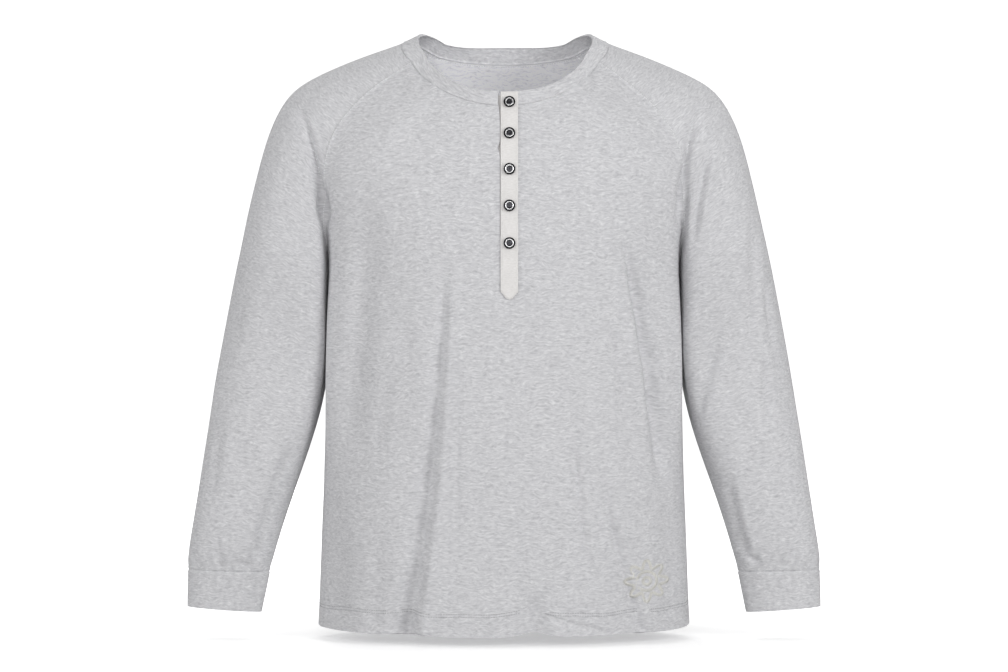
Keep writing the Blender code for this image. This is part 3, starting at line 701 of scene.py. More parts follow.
def shape_edges(panel, normals, name):
    """Sinks the panel's sewn edges and swells the cloth beside them."""
    panel.normal_update()
    for vert in panel.verts:
        own = vert.normal
        if vert.is_boundary and own.dot(normals[vert]) < 0.9:
            normals[vert] = own.copy()
    edge = {vert for vert in panel.verts if is_seam(vert, name)}
    beside = set()
    for vert in edge:
        beside |= {e.other_vert(vert) for e in vert.link_edges}
    beside -= edge
    proud = BAND_PROUD if name == "neckband" else CUFF_PROUD if name.startswith("cuff") else 0
    for vert in panel.verts:
        lift = proud
        if vert in edge:
            lift -= seam_dip(vert, name)
        elif vert in beside and not vert.is_boundary:
            lift += SEAM_SWELL
        vert.co += normals[vert] * lift


SLIT_FRONT = -0.03  # the neckband's back is behind this
SLIT_NEAR, SLIT_BELOW = 0.03, 0.01  # how far round the slit the cloth is cut


def near_slit(panel):
    faces = []
    for face in panel.faces:
        x, y, z = face.calc_center_median()
        if y < SLIT_FRONT and z > SLIT_BOTTOM - SLIT_BELOW and abs(x) < SLIT_NEAR:
            faces.append(face)
    edges = {edge for face in faces for edge in face.edges}
    return faces + list(edges) + list({vert for face in faces for vert in face.verts})


def cut_slit(panel):
    """Opens the front and the neckband behind the placket."""
    for place, facing in (
        ((SLIT_LEFT, 0, 0), (1, 0, 0)),
        ((SLIT_RIGHT, 0, 0), (1, 0, 0)),
        ((0, 0, SLIT_BOTTOM), (0, 0, 1)),
    ):
        geom = near_slit(panel)
        bmesh.ops.bisect_plane(panel, geom=geom, dist=1e-6, plane_co=place, plane_no=facing)
    inside = []
    for face in panel.faces:
        x, y, z = face.calc_center_median()
        if SLIT_LEFT < x < SLIT_RIGHT and z > SLIT_BOTTOM and y < SLIT_FRONT:
            inside.append(face)
    bmesh.ops.delete(panel, geom=inside, context="FACES")
    for vert in panel.verts:
        if vert.is_boundary and abs(vert.co.x - SLIT_LEFT) < 1e-5 and vert.co.z > SLIT_BOTTOM:
            vert.co.x += SLIT_CLOSES * (1 - slit_gape(vert.co.z))


def slit_gape(z):
    """How far the slit stands open at a height, from 0 to 1: the under strip shows there."""
    gape = sum(math.exp(-(((z - at) / wide) ** 2)) for at, wide in SLIT_GAPES)
    return min(gape, 1.0)


def add_inner_layer(panel, normals, thickness_of):
    """Closes the open panel with an inner layer, so that it is a thin shell."""
    layer = places_on_cloth(panel)
    rim = [edge for edge in panel.edges if edge.is_boundary]
    outer = list(panel.verts)
    inner = {v: panel.verts.new(v.co - normals[v] * thickness_of(v.co)) for v in outer}
    for face in list(panel.faces):
        made = panel.faces.new([inner[loop.vert] for loop in reversed(face.loops)])
        made.material_index = 1
        for new, old in zip(made.loops, reversed(face.loops)):
            new[layer].uv = old[layer].uv
    for edge in rim:
        loop = edge.link_loops[0]
        after = loop.link_loop_next
        made = panel.faces.new((after.vert, loop.vert, inner[loop.vert], inner[after.vert]))
        for new, old in zip(made.loops, (after, loop, loop, after)):
            new[layer].uv = old[layer].uv


def layers(name):
    doubled = name.startswith(("cuff", "neckband"))
    hem = name in ("front", "back")
    return lambda p: DOUBLE_CLOTH if doubled or (hem and p.z < HEM_TOP) else CLOTH


def add_mesh(name, bm, *looks, sharp=None):
    """A smooth mesh, with sharp edges where it turns by more than sharp degrees."""
    mesh = bpy.data.meshes.new(name)
    bm.to_mesh(mesh)
    bm.free()
    made = bpy.data.objects.new(name, mesh)
    for look in looks:
        mesh.materials.append(look)
    mesh.shade_smooth()
    bpy.context.scene.collection.objects.link(made)
    if sharp:
        mesh.set_sharp_from_angle(angle=math.radians(sharp))
    return made


def add_panel(fine, name, looks):
    panel, normals = part_panel(fine, name)
    if name in ("front", "neckband"):
        cut_slit(panel)
        panel.normal_update()
        for vert in panel.verts:
            normals.setdefault(vert, vert.normal.copy())
    shape_edges(panel, normals, name)
    for face in panel.faces:
        face.material_index = 0
    add_inner_layer(panel, normals, layers(name))
    made = add_mesh(name + "_cloth", panel, *looks, sharp=55)
    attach(made, "root")
    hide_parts(name)
    return made


# ---------------------------------------------------------------- materials


class Look:
    """A material in the making. Most of its methods add a node and return its output."""

    def __init__(self, name, settings):
        self.material = bpy.data.materials.new(name)
        self.material.use_nodes = True
        self.tree = self.material.node_tree
        self.inputs = self.tree.nodes["Principled BSDF"].inputs
        for socket, value in settings.items():
            self.inputs[socket].default_value = value

    def put(self, socket, value):
        """Gives a socket a value, or another node's output."""
        if isinstance(value, bpy.types.NodeSocket):
            self.tree.links.new(value, socket)
        else:
            socket.default_value = value

    def node(self, kind, inputs, **settings):
        """A node with its inputs, by name or number."""
        made = self.tree.nodes.new(kind)
        for key, value in settings.items():
            setattr(made, key, value)
        for key, value in inputs.items():
            self.put(made.inputs[key], value)
        return made

    def cloth(self):
        """Where a point lies on the flat cloth, in metres."""
        return self.node("ShaderNodeUVMap", {}, uv_map="cloth").outputs["UV"]

    def place(self):
        """Where a point lies in space, in metres."""
        return self.node("ShaderNodeTexCoord", {}).outputs["Object"]

    def scaled(self, source, scale, shift=(0, 0, 0)):
        inputs = {"Vector": source, "Scale": scale, "Location": shift}
        return self.node("ShaderNodeMapping", inputs).outputs["Vector"]

    def strayed(self, place, colour, reach):
        """The place moved by up to half of reach each way, as a noise's colour says."""
        inputs = {0: colour, 1: (0.5, 0.5, 0.5)}
        centred = self.node("ShaderNodeVectorMath", inputs, operation="SUBTRACT").outputs["Vector"]
        inputs = {0: centred, 1: (reach, reach, 0), 2: place}
        moved = self.node("ShaderNodeVectorMath", inputs, operation="MULTIPLY_ADD")
        return moved.outputs["Vector"]

    def noise(self, source, scale, detail=2.0, roughness=0.5, shift=(0, 0, 0), output="Fac"):
        source = self.scaled(source, scale, shift)
        inputs = {"Vector": source, "Scale": 1.0, "Detail": detail, "Roughness": roughness}
        return self.node("ShaderNodeTexNoise", inputs).outputs[output]

    def bands(self, source, scale, direction, **inputs):
        inputs = {"Vector": self.scaled(source, scale), "Scale": 1.0, **inputs}
        made = self.node("ShaderNodeTexWave", inputs, wave_type="BANDS", bands_direction=direction)
        return made.outputs["Fac"]

    def ramp(self, value, *stops):
        made = self.node("ShaderNodeValToRGB", {"Fac": value})
        elements = made.color_ramp.elements
        while len(elements) < len(stops):
            elements.new(0.5)
        for element, (position, colour) in zip(elements, stops):
            element.position = position
            element.color = (*colour, 1)
        return made.outputs["Color"]

    def product(self, colour, *factors):
        """The colour times each factor, which is an output or three numbers."""
        for factor in factors:
            if isinstance(factor, tuple):
                factor = (*factor, 1)
            made = self.node("ShaderNodeMix", {}, data_type="RGBA", blend_type="MULTIPLY")
            colours = [socket for socket in made.inputs if socket.type == "RGBA"]
            made.inputs["Factor"].default_value = 1.0
            for socket, value in zip(colours, (colour, factor)):
                self.put(socket, value)
            colour = [socket for socket in made.outputs if socket.type == "RGBA"][0]
        return colour

    def maths(self, operation, *values):
        made = self.node("ShaderNodeMath", dict(enumerate(values)), operation=operation)
        return made.outputs["Value"]

    def bump(self, height, strength, distance):
        inputs = {"Height": height, "Strength": strength, "Distance": distance}
        self.put(self.inputs["Normal"], self.node("ShaderNodeBump", inputs).outputs["Normal"])


REVERSE_TONE_WITH_PAINTED_LIGHT = 1.68  # the knit's reverse is paler; how much paler here is partly that and partly painted light on the inside, where little light reaches
# The band's reverse tone is partly its paler knit and partly painted light inside the neck.
BAND_TONE, BAND_REVERSE_TONE_WITH_PAINTED_LIGHT = 1.05, 1.30
STREAK_WARP = 0.012  # how far the streaks stray from straight courses


def heather_jersey(name, tone):
    """Light grey marl: fine streaks along the knitted courses, and the knit itself as bump."""
    look = Look(
        name,
        {
            "Roughness": 0.93,
            "Specular IOR Level": 0.25,
            "Sheen Weight": 0.18,
            "Sheen Roughness": 0.55,
        },
    )
    cloth = look.cloth()
    place = look.strayed(cloth, look.noise(cloth, (45, 60, 1), output="Color"), STREAK_WARP)
    streaks = look.noise(place, (165, 500, 1), 3.0, 0.66)
    strands = look.noise(place, (70, 300, 1), shift=(3, 1, 0))
    clouds = look.noise(place, (42, 62, 1), 3.0, shift=(7, 5, 0))
    base = look.ramp(
        streaks,
        (0.28, (0.455, 0.454, 0.471)),
        (0.44, (0.562, 0.561, 0.577)),
        (0.57, (0.628, 0.627, 0.640)),
        (0.72, (0.740, 0.739, 0.750)),
    )
    fibres = look.ramp(
        strands, (0.30, (0.90, 0.90, 0.905)), (0.50, (1, 1, 1)), (0.70, (1.06, 1.06, 1.06))
    )
    cloudy = look.ramp(clouds, (0.3, (0.965, 0.965, 0.968)), (0.7, (1.02, 1.02, 1.02)))
    look.put(look.inputs["Base Color"], look.product(base, fibres, cloudy, (tone, tone, tone)))
    wales = look.bands(cloth, (330, 190, 1), "X", **{"Distortion": 1.2, "Detail Scale": 0.6})
    ribs = look.maths("MULTIPLY", wales, 0.55)
    look.bump(look.maths("MULTIPLY_ADD", streaks, 0.9, ribs), 0.55, 0.00035)
    return look.material


def ivory_twill():
    """The placket's plain tape: warm off-white with a fine cross weave."""
    settings = {"Roughness": 0.88, "Specular IOR Level": 0.25, "Sheen Weight": 0.12}
    look = Look("ivory_twill_fine", settings)
    cloth = look.cloth()
    slubs = look.noise(cloth, (260, 900, 1))
    patches = look.noise(cloth, (60, 45, 1), shift=(2, 4, 0))
    base = look.ramp(
        slubs,
        (0.30, (0.690, 0.674, 0.660)),
        (0.50, (0.735, 0.719, 0.707)),
        (0.70, (0.775, 0.760, 0.750)),
    )
    worn = look.ramp(patches, (0.3, (0.965, 0.965, 0.965)), (0.7, (1.02, 1.02, 1.02)))
    look.put(look.inputs["Base Color"], look.product(base, worn))
    weave = look.bands(cloth, (420, 420, 1), "DIAGONAL")
    look.bump(look.maths("ADD", weave, slubs), 0.45, 0.00025)
    return look.material


def thread(name, light, dark):
    """Spun thread, with its twist as slight bands of tone."""
    look = Look(name, {"Roughness": 0.75, "Sheen Weight": 0.15})
    twist = look.noise(look.place(), (900, 900, 900), 1.0)
    look.put(look.inputs["Base Color"], look.ramp(twist, (0.35, dark), (0.65, light)))
    return look.material


def metal(name, dark, light, rough_low, rough_high):
    """Plated metal with fine wear."""
    look = Look(name, {"Metallic": 1.0})
    wear = look.noise(look.place(), (420, 420, 420), 4.0, 0.6)
    look.put(look.inputs["Base Color"], look.ramp(wear, (0.35, dark), (0.70, light)))
    low, high = (rough_low,) * 3, (rough_high,) * 3
    look.put(look.inputs["Roughness"], look.ramp(wear, (0.35, low), (0.70, high)))
    look.bump(wear, 0.15, 0.0001)
    return look.material


# ---------------------------------------------------------------- things laid on the cloth


def surface_tree(objects):
    """A tree of these pieces' faces, to lay things on."""
    verts, faces = [], []
    for made in objects:
        first = len(verts)
        verts += [v.co.copy() for v in made.data.vertices]
        faces += [[first + i for i in p.vertices] for p in made.data.polygons]
    return BVHTree.FromPolygons(verts, faces)


def on_front(tree, x, z):
    point, normal, _, _ = tree.ray_cast(Vector((x, -1, z)), Vector((0, 1, 0)))
    return point, normal


def placket_tree(fine):
    """The whole cloth with its slit still closed, which the placket lies on."""
    whole = bmesh.new()
    whole.from_mesh(fine)
    tree = BVHTree.FromBMesh(whole)
    whole.free()
    return tree


def pointed_end(x):
    off = abs(x - PLACKET_MIDDLE) / (PLACKET_WIDTH / 2)
    return PLACKET_TIP + (PLACKET_SHOULDER - PLACKET_TIP) * smooth_step((off - 0.2) / 0.8)


# Across the strip: places from edge to edge, and how much of its thickness it has there.
STRIP_SECTION = (
    (0.0, 0.0), (0.0, 0.45), (0.012, 0.85), (0.045, 1.0), (0.10, 0.97), (0.135, 0.90),
    (0.18, 0.98), (0.32, 1.0), (0.5, 1.02), (0.68, 1.0), (0.82, 0.98), (0.865, 0.90),
    (0.90, 0.97), (0.955, 1.0), (0.988, 0.85), (1.0, 0.45), (1.0, 0.0),
)
STRIP_ROWS = 150
UPPER_CLEAR, UPPER_CLOTH = 0.0009, 0.0015  # how far off the cloth a strip lies, and how thick it is
UNDER_CLEAR, UNDER_CLOTH = -0.0042, 0.0012
# Slight dents across the upper strip, below each button and above all but the first: how far off,
# how wide, and how deep as a share of the thickness.
DENT_BELOW, DENT_ABOVE = (-0.0185, 0.0012, 0.10), (0.0150, 0.0010, 0.07)
FACING_STEP = 0.004  # a strip's facing is the mean over this far up and down the cloth


def strip_point(tree, left, right, top, end_of, share, down):
    """The cloth's point under one place on a strip, and its height and the way it faces."""
    x = left + (right - left) * share
    z = top + (end_of(x) - top) * down
    around = [on_front(tree, x, z + step) for step in (-FACING_STEP, 0.0, FACING_STEP)]
    around = [hit for hit in around if hit[0] is not None]
    facing = sum((normal for _, normal in around), Vector()).normalized()
    point, _ = on_front(tree, x, z)
    return point, facing, z


def add_strip(tree, name, left, right, top, end_of, clear, thickness, look, dents=()):
    """A sewn strip down the front, with rounded edges, laid clear of the cloth."""
    strip = bmesh.new()
    layer = places_on_cloth(strip)
    rows = []
    for i in range(STRIP_ROWS + 1):
        down = i / STRIP_ROWS
        end = min(smooth_step(i / 2 + 0.35), smooth_step((STRIP_ROWS - i) / 2 + 0.35))
        row = []
        for share, height in STRIP_SECTION:
            point, facing, z = strip_point(tree, left, right, top, end_of, share, down)
            dent = sum(size * math.exp(-(((z - at) / wide) ** 2)) for at, wide, size in dents)
            body = thickness * height * end * (1 - dent)
            vert = strip.verts.new(point + facing * (clear + body))
            row.append((vert, ((right - left) * share, z)))
        rows.append(row)
    outlines = []
    for upper, lower in zip(rows, rows[1:]):
        for j in range(len(STRIP_SECTION) - 1):
            outlines.append((upper[j], lower[j], lower[j + 1], upper[j + 1]))
    # the underside, from edge to edge, and the two ends
    for upper, lower in zip(rows, rows[1:]):
        outlines.append((upper[-1], lower[-1], lower[0], upper[0]))
    outlines += [rows[0], rows[-1][::-1]]
    for corners in outlines:
        face = strip.faces.new([vert for vert, _ in corners])
        for loop, (_, place) in zip(face.loops, corners):
            loop[layer].uv = place
    bmesh.ops.recalc_face_normals(strip, faces=strip.faces)
    made = add_mesh(name, strip, look, sharp=60)
    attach(made, "root")
    return made


# From the middle of the dish, out over the ring, down to the cloth and under: the radius's share,
# the height's share, and the metal from there to the next point.
CAP, RING, RIM = 0, 1, 2
BUTTON_PROFILE = (
    (0.00, 0.50, CAP), (0.10, 0.49, CAP), (0.14, 0.55, CAP), (0.22, 0.58, CAP),
    (0.36, 0.56, CAP), (0.46, 0.50, CAP), (0.50, 0.44, CAP), (0.53, 0.44, RING),
    (0.56, 0.62, RING), (0.60, 0.72, RING), (0.66, 0.74, RING), (0.72, 0.68, RING),
    (0.75, 0.58, RIM), (0.78, 0.62, RIM), (0.82, 0.86, RIM), (0.87, 0.98, RIM),
    (0.92, 1.00, RIM), (0.97, 0.90, RIM), (1.00, 0.62, RIM), (0.99, 0.25, RIM),
    (0.93, 0.02, RIM), (0.80, 0.00, RIM), (0.00, 0.00, RIM),
)
BUTTON_STEPS = 48


def button_mesh():
    button = bmesh.new()
    rings = []
    for radius, height, _ in BUTTON_PROFILE:
        r, z = radius * BUTTON_RADIUS, height * BUTTON_THICKNESS
        if radius == 0:
            rings.append([button.verts.new((0, 0, z))] * BUTTON_STEPS)
            continue
        turns = (math.tau * i / BUTTON_STEPS for i in range(BUTTON_STEPS))
        rings.append([button.verts.new((r * math.cos(t), r * math.sin(t), z)) for t in turns])
    for (upper, lower), (_, _, metal_index) in zip(zip(rings, rings[1:]), BUTTON_PROFILE):
        for i in range(BUTTON_STEPS):
            j = (i + 1) % BUTTON_STEPS
            corners = dict.fromkeys((upper[i], lower[i], lower[j], upper[j]))
            button.faces.new(list(corners)).material_index = metal_index
    bmesh.ops.recalc_face_normals(button, faces=button.faces)
    return button


def add_buttons(looks):
    """Each button stands square to the placket, at the height and tilt that its CAD node has."""
    for number in range(1, len(BUTTON_HEIGHTS) + 1):
        low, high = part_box(f"button_{number}")
        middle = (Vector(low) + Vector(high)) / 2
        made = add_mesh(f"snap_{number}", button_mesh(), *looks, sharp=50)
        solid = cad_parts[f"button_{number}"]
        facing = disc_facing(np.array([tuple(vert.co) for vert in solid.data.vertices]))
        made.matrix_world = (
            Matrix.Translation(middle - facing * (BUTTON_THICKNESS / 2))
            @ Vector((0, 0, 1)).rotation_difference(facing).to_matrix().to_4x4()
            @ Matrix.Rotation(number * 1.1, 4, "Z")  # so that no two show the same wear
        )
        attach(made, "root")
        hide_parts(f"button_{number}")


def disc_facing(points):
    """The thin direction of a disc of points, towards the front."""
    _, _, axes = np.linalg.svd(points - points.mean(axis=0))
    facing = Vector(axes[2])
    return -facing if facing.y > 0 else facing


# ---------------------------------------------------------------- seams and stitches

STITCH_STEP, STITCH_RADIUS = 0.0030, 0.00030
RAGLAN_STITCH_RADIUS, HEM_STITCH_RADIUS, EDGE_STITCH_RADIUS = 0.00042, 0.00038, 0.00026
RAGLAN_HALF, BAND_STITCH, CUFF_STITCH = 0.0026, 0.0045, 0.0030  # each row's distance from its seam
BAND_STITCH_CLEAR = (0.004, 0.006)  # the neckband's row stops this far from the slit's two sides
HEM_STITCH, HEM_TWIN = 0.0245, 0.0032  # up from the hem's edge, and from one row to the other
STITCH_GAP, HEM_STITCH_GAP = 0.25, 0.12  # the share of each step between two stitches
EDGE_STITCH_INSET, EDGE_STITCH_STEP, EDGE_STITCH_TOP = 0.0024, 0.0026, 0.003  # on the placket


def chained(links):
    """Vertex numbers in order along a chain or a ring, from {vertex: neighbours}."""
    ends = [v for v, near in links.items() if len(near) == 1]
    chains, seen = [], set()
    for start in ends + list(links):
        if start in seen:
            continue
        chain, here = [start], start
        seen.add(start)
        while True:
            onward = [v for v in links[here] if v not in seen]
            if not onward:
                break
            here = onward[0]
            seen.add(here)
            chain.append(here)
        if len(links[start]) == 2 and start in links[chain[-1]]:
            chain.append(start)
        chains.append(chain)
    return [chain for chain in chains if len(chain) > 3]


def seam_chains(fine, first, second):
    """Points along each seam between panels whose names start with first and second. With no
    second, the open edges of first."""
    panels = np.empty(len(fine.polygons), np.int32)
    fine.polygons.foreach_get("material_index", panels)
    users = {}
    for polygon in fine.polygons:
        for key in polygon.edge_keys:
            users.setdefault(key, []).append(PANELS[panels[polygon.index]])
    links = {}
    for (a, b), names in users.items():
        if second is None:
            wanted = len(names) == 1 and names[0].startswith(first)
        else:
            ways = (names, names[::-1]) if len(names) == 2 else ()
            wanted = any(one.startswith(first) and two.startswith(second) for one, two in ways)
        if wanted:
            links.setdefault(a, []).append(b)
            links.setdefault(b, []).append(a)
    return [[fine.vertices[i].co.copy() for i in chain] for chain in chained(links)]


def evenly(points, step):
    """Points every step along a line."""
    places = np.array([tuple(p) for p in points])
    along = np.concatenate([[0], np.cumsum(np.linalg.norm(np.diff(places, axis=0), axis=1))])
    count = max(int(along[-1] / step), 2)
    at = np.linspace(0, along[-1], count + 1)
    return [Vector([np.interp(t, along, places[:, k]) for k in range(3)]) for t in at]


def laid(tree, points, sideways=0):
    """The line moved sideways in the surface: its points on the surface and the normals there."""
    found = []
    for i, point in enumerate(points):
        before, after = points[max(i - 1, 0)], points[min(i + 1, len(points) - 1)]
        _, normal, _, _ = tree.find_nearest(point)
        across = (after - before).cross(normal).normalized()
        near, normal, _, _ = tree.find_nearest(point + across * sideways)
        found.append((near, normal))
    return found


# Along a stitch: the share of its run, its width's share, and how many radii it lifts.
SPINDLE = ((0.0, 0.35, -1.2), (0.2, 0.9, 0.1), (0.5, 1.0, 0.45), (0.8, 0.9, 0.1), (1.0, 0.35, -1.2))


def add_thread(bm, start, end, normal, radius, sides=5):
    """One stitch: a spindle from start to end whose ends dip into the cloth."""
    run = end - start
    across = run.cross(normal).normalized() * radius
    up = normal.normalized() * radius
    rings = []
    for share, width, lift in SPINDLE:
        middle = start + run * share + up * lift
        ring = []
        for i in range(sides):
            turn = math.tau * i / sides
            ring.append(
                bm.verts.new(middle + (across * math.cos(turn) + up * math.sin(turn)) * width)
            )
        rings.append(ring)
    for a, b in zip(rings, rings[1:]):
        for i in range(sides):
            j = (i + 1) % sides
            bm.faces.new((a[i], a[j], b[j], b[i]))
    bm.faces.new(rings[0][::-1])
    bm.faces.new(rings[-1])


def stitch(bm, line, radius=STITCH_RADIUS, gap=STITCH_GAP):
    """Running stitches between neighbouring points of a laid line."""
    for (a, normal), (b, _) in zip(line, line[1:]):
        add_thread(bm, a.lerp(b, gap / 2), b.lerp(a, gap / 2), normal, radius)


def add_stitches(name, bm, look):
    bmesh.ops.recalc_face_normals(bm, faces=bm.faces)
    made = add_mesh(name, bm, look)
    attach(made, "root")
    return made


def sew_raglans(fine, tree, look):
    bm = bmesh.new()
    for body in ("front", "back"):
        for side in ("sleeve_left", "sleeve_right"):
            for chain in seam_chains(fine, body, side):
                points = evenly(chain, STITCH_STEP)
                for off in (-RAGLAN_HALF, RAGLAN_HALF):
                    stitch(bm, laid(tree, points, off), radius=RAGLAN_STITCH_RADIUS)
    return add_stitches("raglan_stitches", bm, look)


def sew_neckband(fine, tree, look):
    """One row of top stitching below the band's seam, left out behind the placket."""
    bm = bmesh.new()
    for panel in ("front", "back", "sleeve"):
        for chain in seam_chains(fine, "neckband", panel):
            sew_beside_band(bm, tree, chain)
    return add_stitches("neckband_stitches", bm, look)


def sew_beside_band(bm, tree, chain):
    points = evenly(chain, STITCH_STEP)
    middle = Vector((*NECK_MIDDLE, points[0].z))
    lines = [laid(tree, points, off) for off in (BAND_STITCH, -BAND_STITCH)]
    outside = max(lines, key=lambda line: sum((place - middle).length for place, _ in line))
    left, right = SLIT_LEFT - BAND_STITCH_CLEAR[0], SLIT_RIGHT + BAND_STITCH_CLEAR[1]
    kept = []
    for place, normal in outside:
        if place.y < SLIT_FRONT and left < place.x < right:
            stitch(bm, kept)
            kept = []
        else:
            kept.append((place, normal))
    stitch(bm, kept)


def sew_cuffs(fine, tree, look):
    bm = bmesh.new()
    for side in ("left", "right"):
        for chain in seam_chains(fine, "sleeve_" + side, "cuff_" + side):
            points = [p + Vector((0, 0, CUFF_STITCH)) for p in evenly(chain, STITCH_STEP)]
            stitch(bm, laid(tree, points))
    return add_stitches("cuff_stitches", bm, look)


def sew_hem(fine, tree, look):
    """The hem's twin rows, which wander a little in height."""
    bm = bmesh.new()
    for chain in seam_chains(fine, "front", None) + seam_chains(fine, "back", None):
        if sum(p.z for p in chain) / len(chain) > -0.6:
            continue
        for row in (0.0, HEM_TWIN):
            points = []
            for p in evenly(chain, STITCH_STEP):
                wander = 0.0011 * math.sin(p.x * 33 + 1) + 0.0006 * math.sin(p.x * 91)
                points.append(p + Vector((0, 0, HEM_STITCH + row + wander)))
            stitch(bm, laid(tree, points), radius=HEM_STITCH_RADIUS, gap=HEM_STITCH_GAP)
    return add_stitches("hem_stitches", bm, look)


def sew_placket(placket, look):
    """Edge stitching on the placket, down both sides and round its point."""
    tree = surface_tree([placket])
    bm = bmesh.new()
    inset = EDGE_STITCH_INSET
    half = PLACKET_WIDTH / 2 - inset
    left, right = PLACKET_MIDDLE - half, PLACKET_MIDDLE + half
    top, shoulder = PLACKET_TOP - EDGE_STITCH_TOP, PLACKET_SHOULDER + inset
    round_point = [left + 2 * half * i / 8 for i in range(1, 8)]
    outline = [(left, top), (left, shoulder)]
    outline += [(x, pointed_end(x) + inset) for x in round_point]
    outline += [(right, shoulder), (right, top)]
    places = evenly([Vector((x, 0, z)) for x, z in outline], EDGE_STITCH_STEP)
    line = [on_front(tree, place.x, place.z) for place in places]
    stitch(bm, [(hit, normal) for hit, normal in line if hit is not None], EDGE_STITCH_RADIUS)
    return add_stitches("placket_stitches", bm, look)


# ---------------------------------------------------------------- the tonal embroidery

MOTIF_MIDDLE = (0.172, -0.654)
MOTIF_HALF = (0.027, 0.025)
MOTIF_LINES = ((240, 0.80, 0.20), (80, 0.46, 0), (80, 0.18, 0))  # steps, reach, petals' depth
PETALS = 8
SATIN_WIDTH, SATIN_STEP, SATIN_RADIUS, SATIN_UNEVEN = 0.0052, 0.00075, 0.00048, 0.0001


def motif_outlines():
    """A generic motif: a ring of petals round two small rings, as closed outlines."""
    wide, high = MOTIF_HALF
    for steps, reach, depth in MOTIF_LINES:
        outline = []
        for i in range(steps + 1):
            turn = math.tau * i / steps
            size = reach + depth * math.cos(PETALS * turn)
            outline.append((wide * size * math.sin(turn), high * size * math.cos(turn)))
        yield outline


def embroider(tree, look):
    """Satin stitch: threads side by side across each outline of the motif."""
    bm = bmesh.new()
    random.seed(7)
    for outline in motif_outlines():
        flat = [Vector((MOTIF_MIDDLE[0] + x, 0, MOTIF_MIDDLE[1] + z)) for x, z in outline]
        points = evenly(flat, SATIN_STEP)
        for a, b in zip(points, points[1:]):
            along = (b - a).normalized()
            across = Vector((along.z, 0, -along.x)) * (SATIN_WIDTH / 2)
            start, normal = on_front(tree, a.x - across.x, a.z - across.z)
            end, _ = on_front(tree, a.x + across.x, a.z + across.z)
            slant = along * random.uniform(-SATIN_UNEVEN, SATIN_UNEVEN)
            add_thread(bm, start + slant, end - slant, normal, SATIN_RADIUS, sides=4)
    return add_stitches("embroidery", bm, look)


# ---------------------------------------------------------------- stage, light and camera

CAMERA_DISTANCE, CAMERA_HEIGHT = 3.5, -0.3589
SENSOR, FOCAL_SHARE = 36.0, 2.816  # the sensor's width, and the focal length as a share of it
FLOOR_CLEAR = 0.013  # the hem's height over the floor
STAGE_HALF, STAGE_BACK, STAGE_RADIUS, STAGE_HIGH = 14.0, 9.0, 3.0, 9.0
STAGE_STEPS = 16  # round its curve
FLOOR_GLOW_AND_PAINTED_SHADOW = (0.32, 0.80)  # under the shirt, and away from it: the lower glow under the shirt is a painted shadow
PAINTED_SHADOW_SCALE = (2.6, 4.5, 0)  # the painted shadow on the floor is narrower in depth than in width
PAINTED_SHADOW_FADES = (0.55, 2.3)  # where the glow begins to rise and where it is full, in that scale
LIGHTS_AIM = (0, 0, -0.36)


def add_stage():
    """A pale floor that curves up into a backdrop. It glows, but throws no light on the shirt. Its
    glow dips under the shirt, as a painted shadow.
    """
    low = cad_box[0][2] - FLOOR_CLEAR
    stage = bmesh.new()
    profile = [(-STAGE_HALF, low)]
    for i in range(STAGE_STEPS + 1):
        turn = math.pi / 2 * i / STAGE_STEPS
        across, up = STAGE_RADIUS * math.sin(turn), STAGE_RADIUS * math.cos(turn)
        profile.append((STAGE_BACK - STAGE_RADIUS + across, low + STAGE_RADIUS - up))
    profile.append((STAGE_BACK, STAGE_HIGH))
    rows = [[stage.verts.new((x, y, z)) for x in (-STAGE_HALF, STAGE_HALF)] for y, z in profile]
    for a, b in zip(rows, rows[1:]):
        stage.faces.new((a[0], a[1], b[1], b[0]))
    settings = {"Roughness": 0.9, "Specular IOR Level": 0.1, "Emission Color": (1, 1, 1, 1)}
    look = Look("pale_floor", settings)
    place = look.place()
    grain = look.noise(place, (3, 3, 3))
    tone = look.ramp(grain, (0.3, (0.93, 0.93, 0.93)), (0.7, (0.95, 0.95, 0.95)))
    look.put(look.inputs["Base Color"], tone)
    # The glow is lowered round the shirt's place: a painted shadow under the hem and cuffs.
    inputs = {0: look.scaled(place, PAINTED_SHADOW_SCALE)}
    away = look.node("ShaderNodeVectorMath", inputs, operation="LENGTH").outputs["Value"]
    inputs = dict(enumerate((away, *PAINTED_SHADOW_FADES, *FLOOR_GLOW_AND_PAINTED_SHADOW)))
    glow_with_painted_shadow = look.node("ShaderNodeMapRange", inputs, interpolation_type="SMOOTHSTEP")
    look.put(look.inputs["Emission Strength"], glow_with_painted_shadow.outputs[0])
    floor = add_mesh("floor", stage, look.material)
    floor.visible_diffuse = False
    floor.visible_glossy = False


def add_light(name, place, target, size, power):
    data = bpy.data.lights.new(name, "AREA")
    data.shape = "RECTANGLE"
    data.size, data.size_y = size
    data.energy = power
    made = bpy.data.objects.new(name, data)
    made.location = place
    made.rotation_euler = (Vector(target) - Vector(place)).to_track_quat("-Z", "Y").to_euler()
    bpy.context.scene.collection.objects.link(made)


Light = namedtuple("Light", "name x y z wide high power")
LIGHTS = (
    Light("key_right", 2.5, -2.4, 0.4, 1.1, 1.5, 47),
    Light("fill_left", -2.9, -1.6, 0.2, 1.8, 1.8, 28),
    Light("front_soft", 0.0, -3.4, 0.4, 1.8, 0.9, 40),
    Light("back_top", 0.0, 1.5, 2.0, 2.4, 1.0, 18),
    Light("back_soft", -1.2, 3.6, 0.5, 2.0, 1.2, 30),
)
WORLD_STRENGTH = 0.365


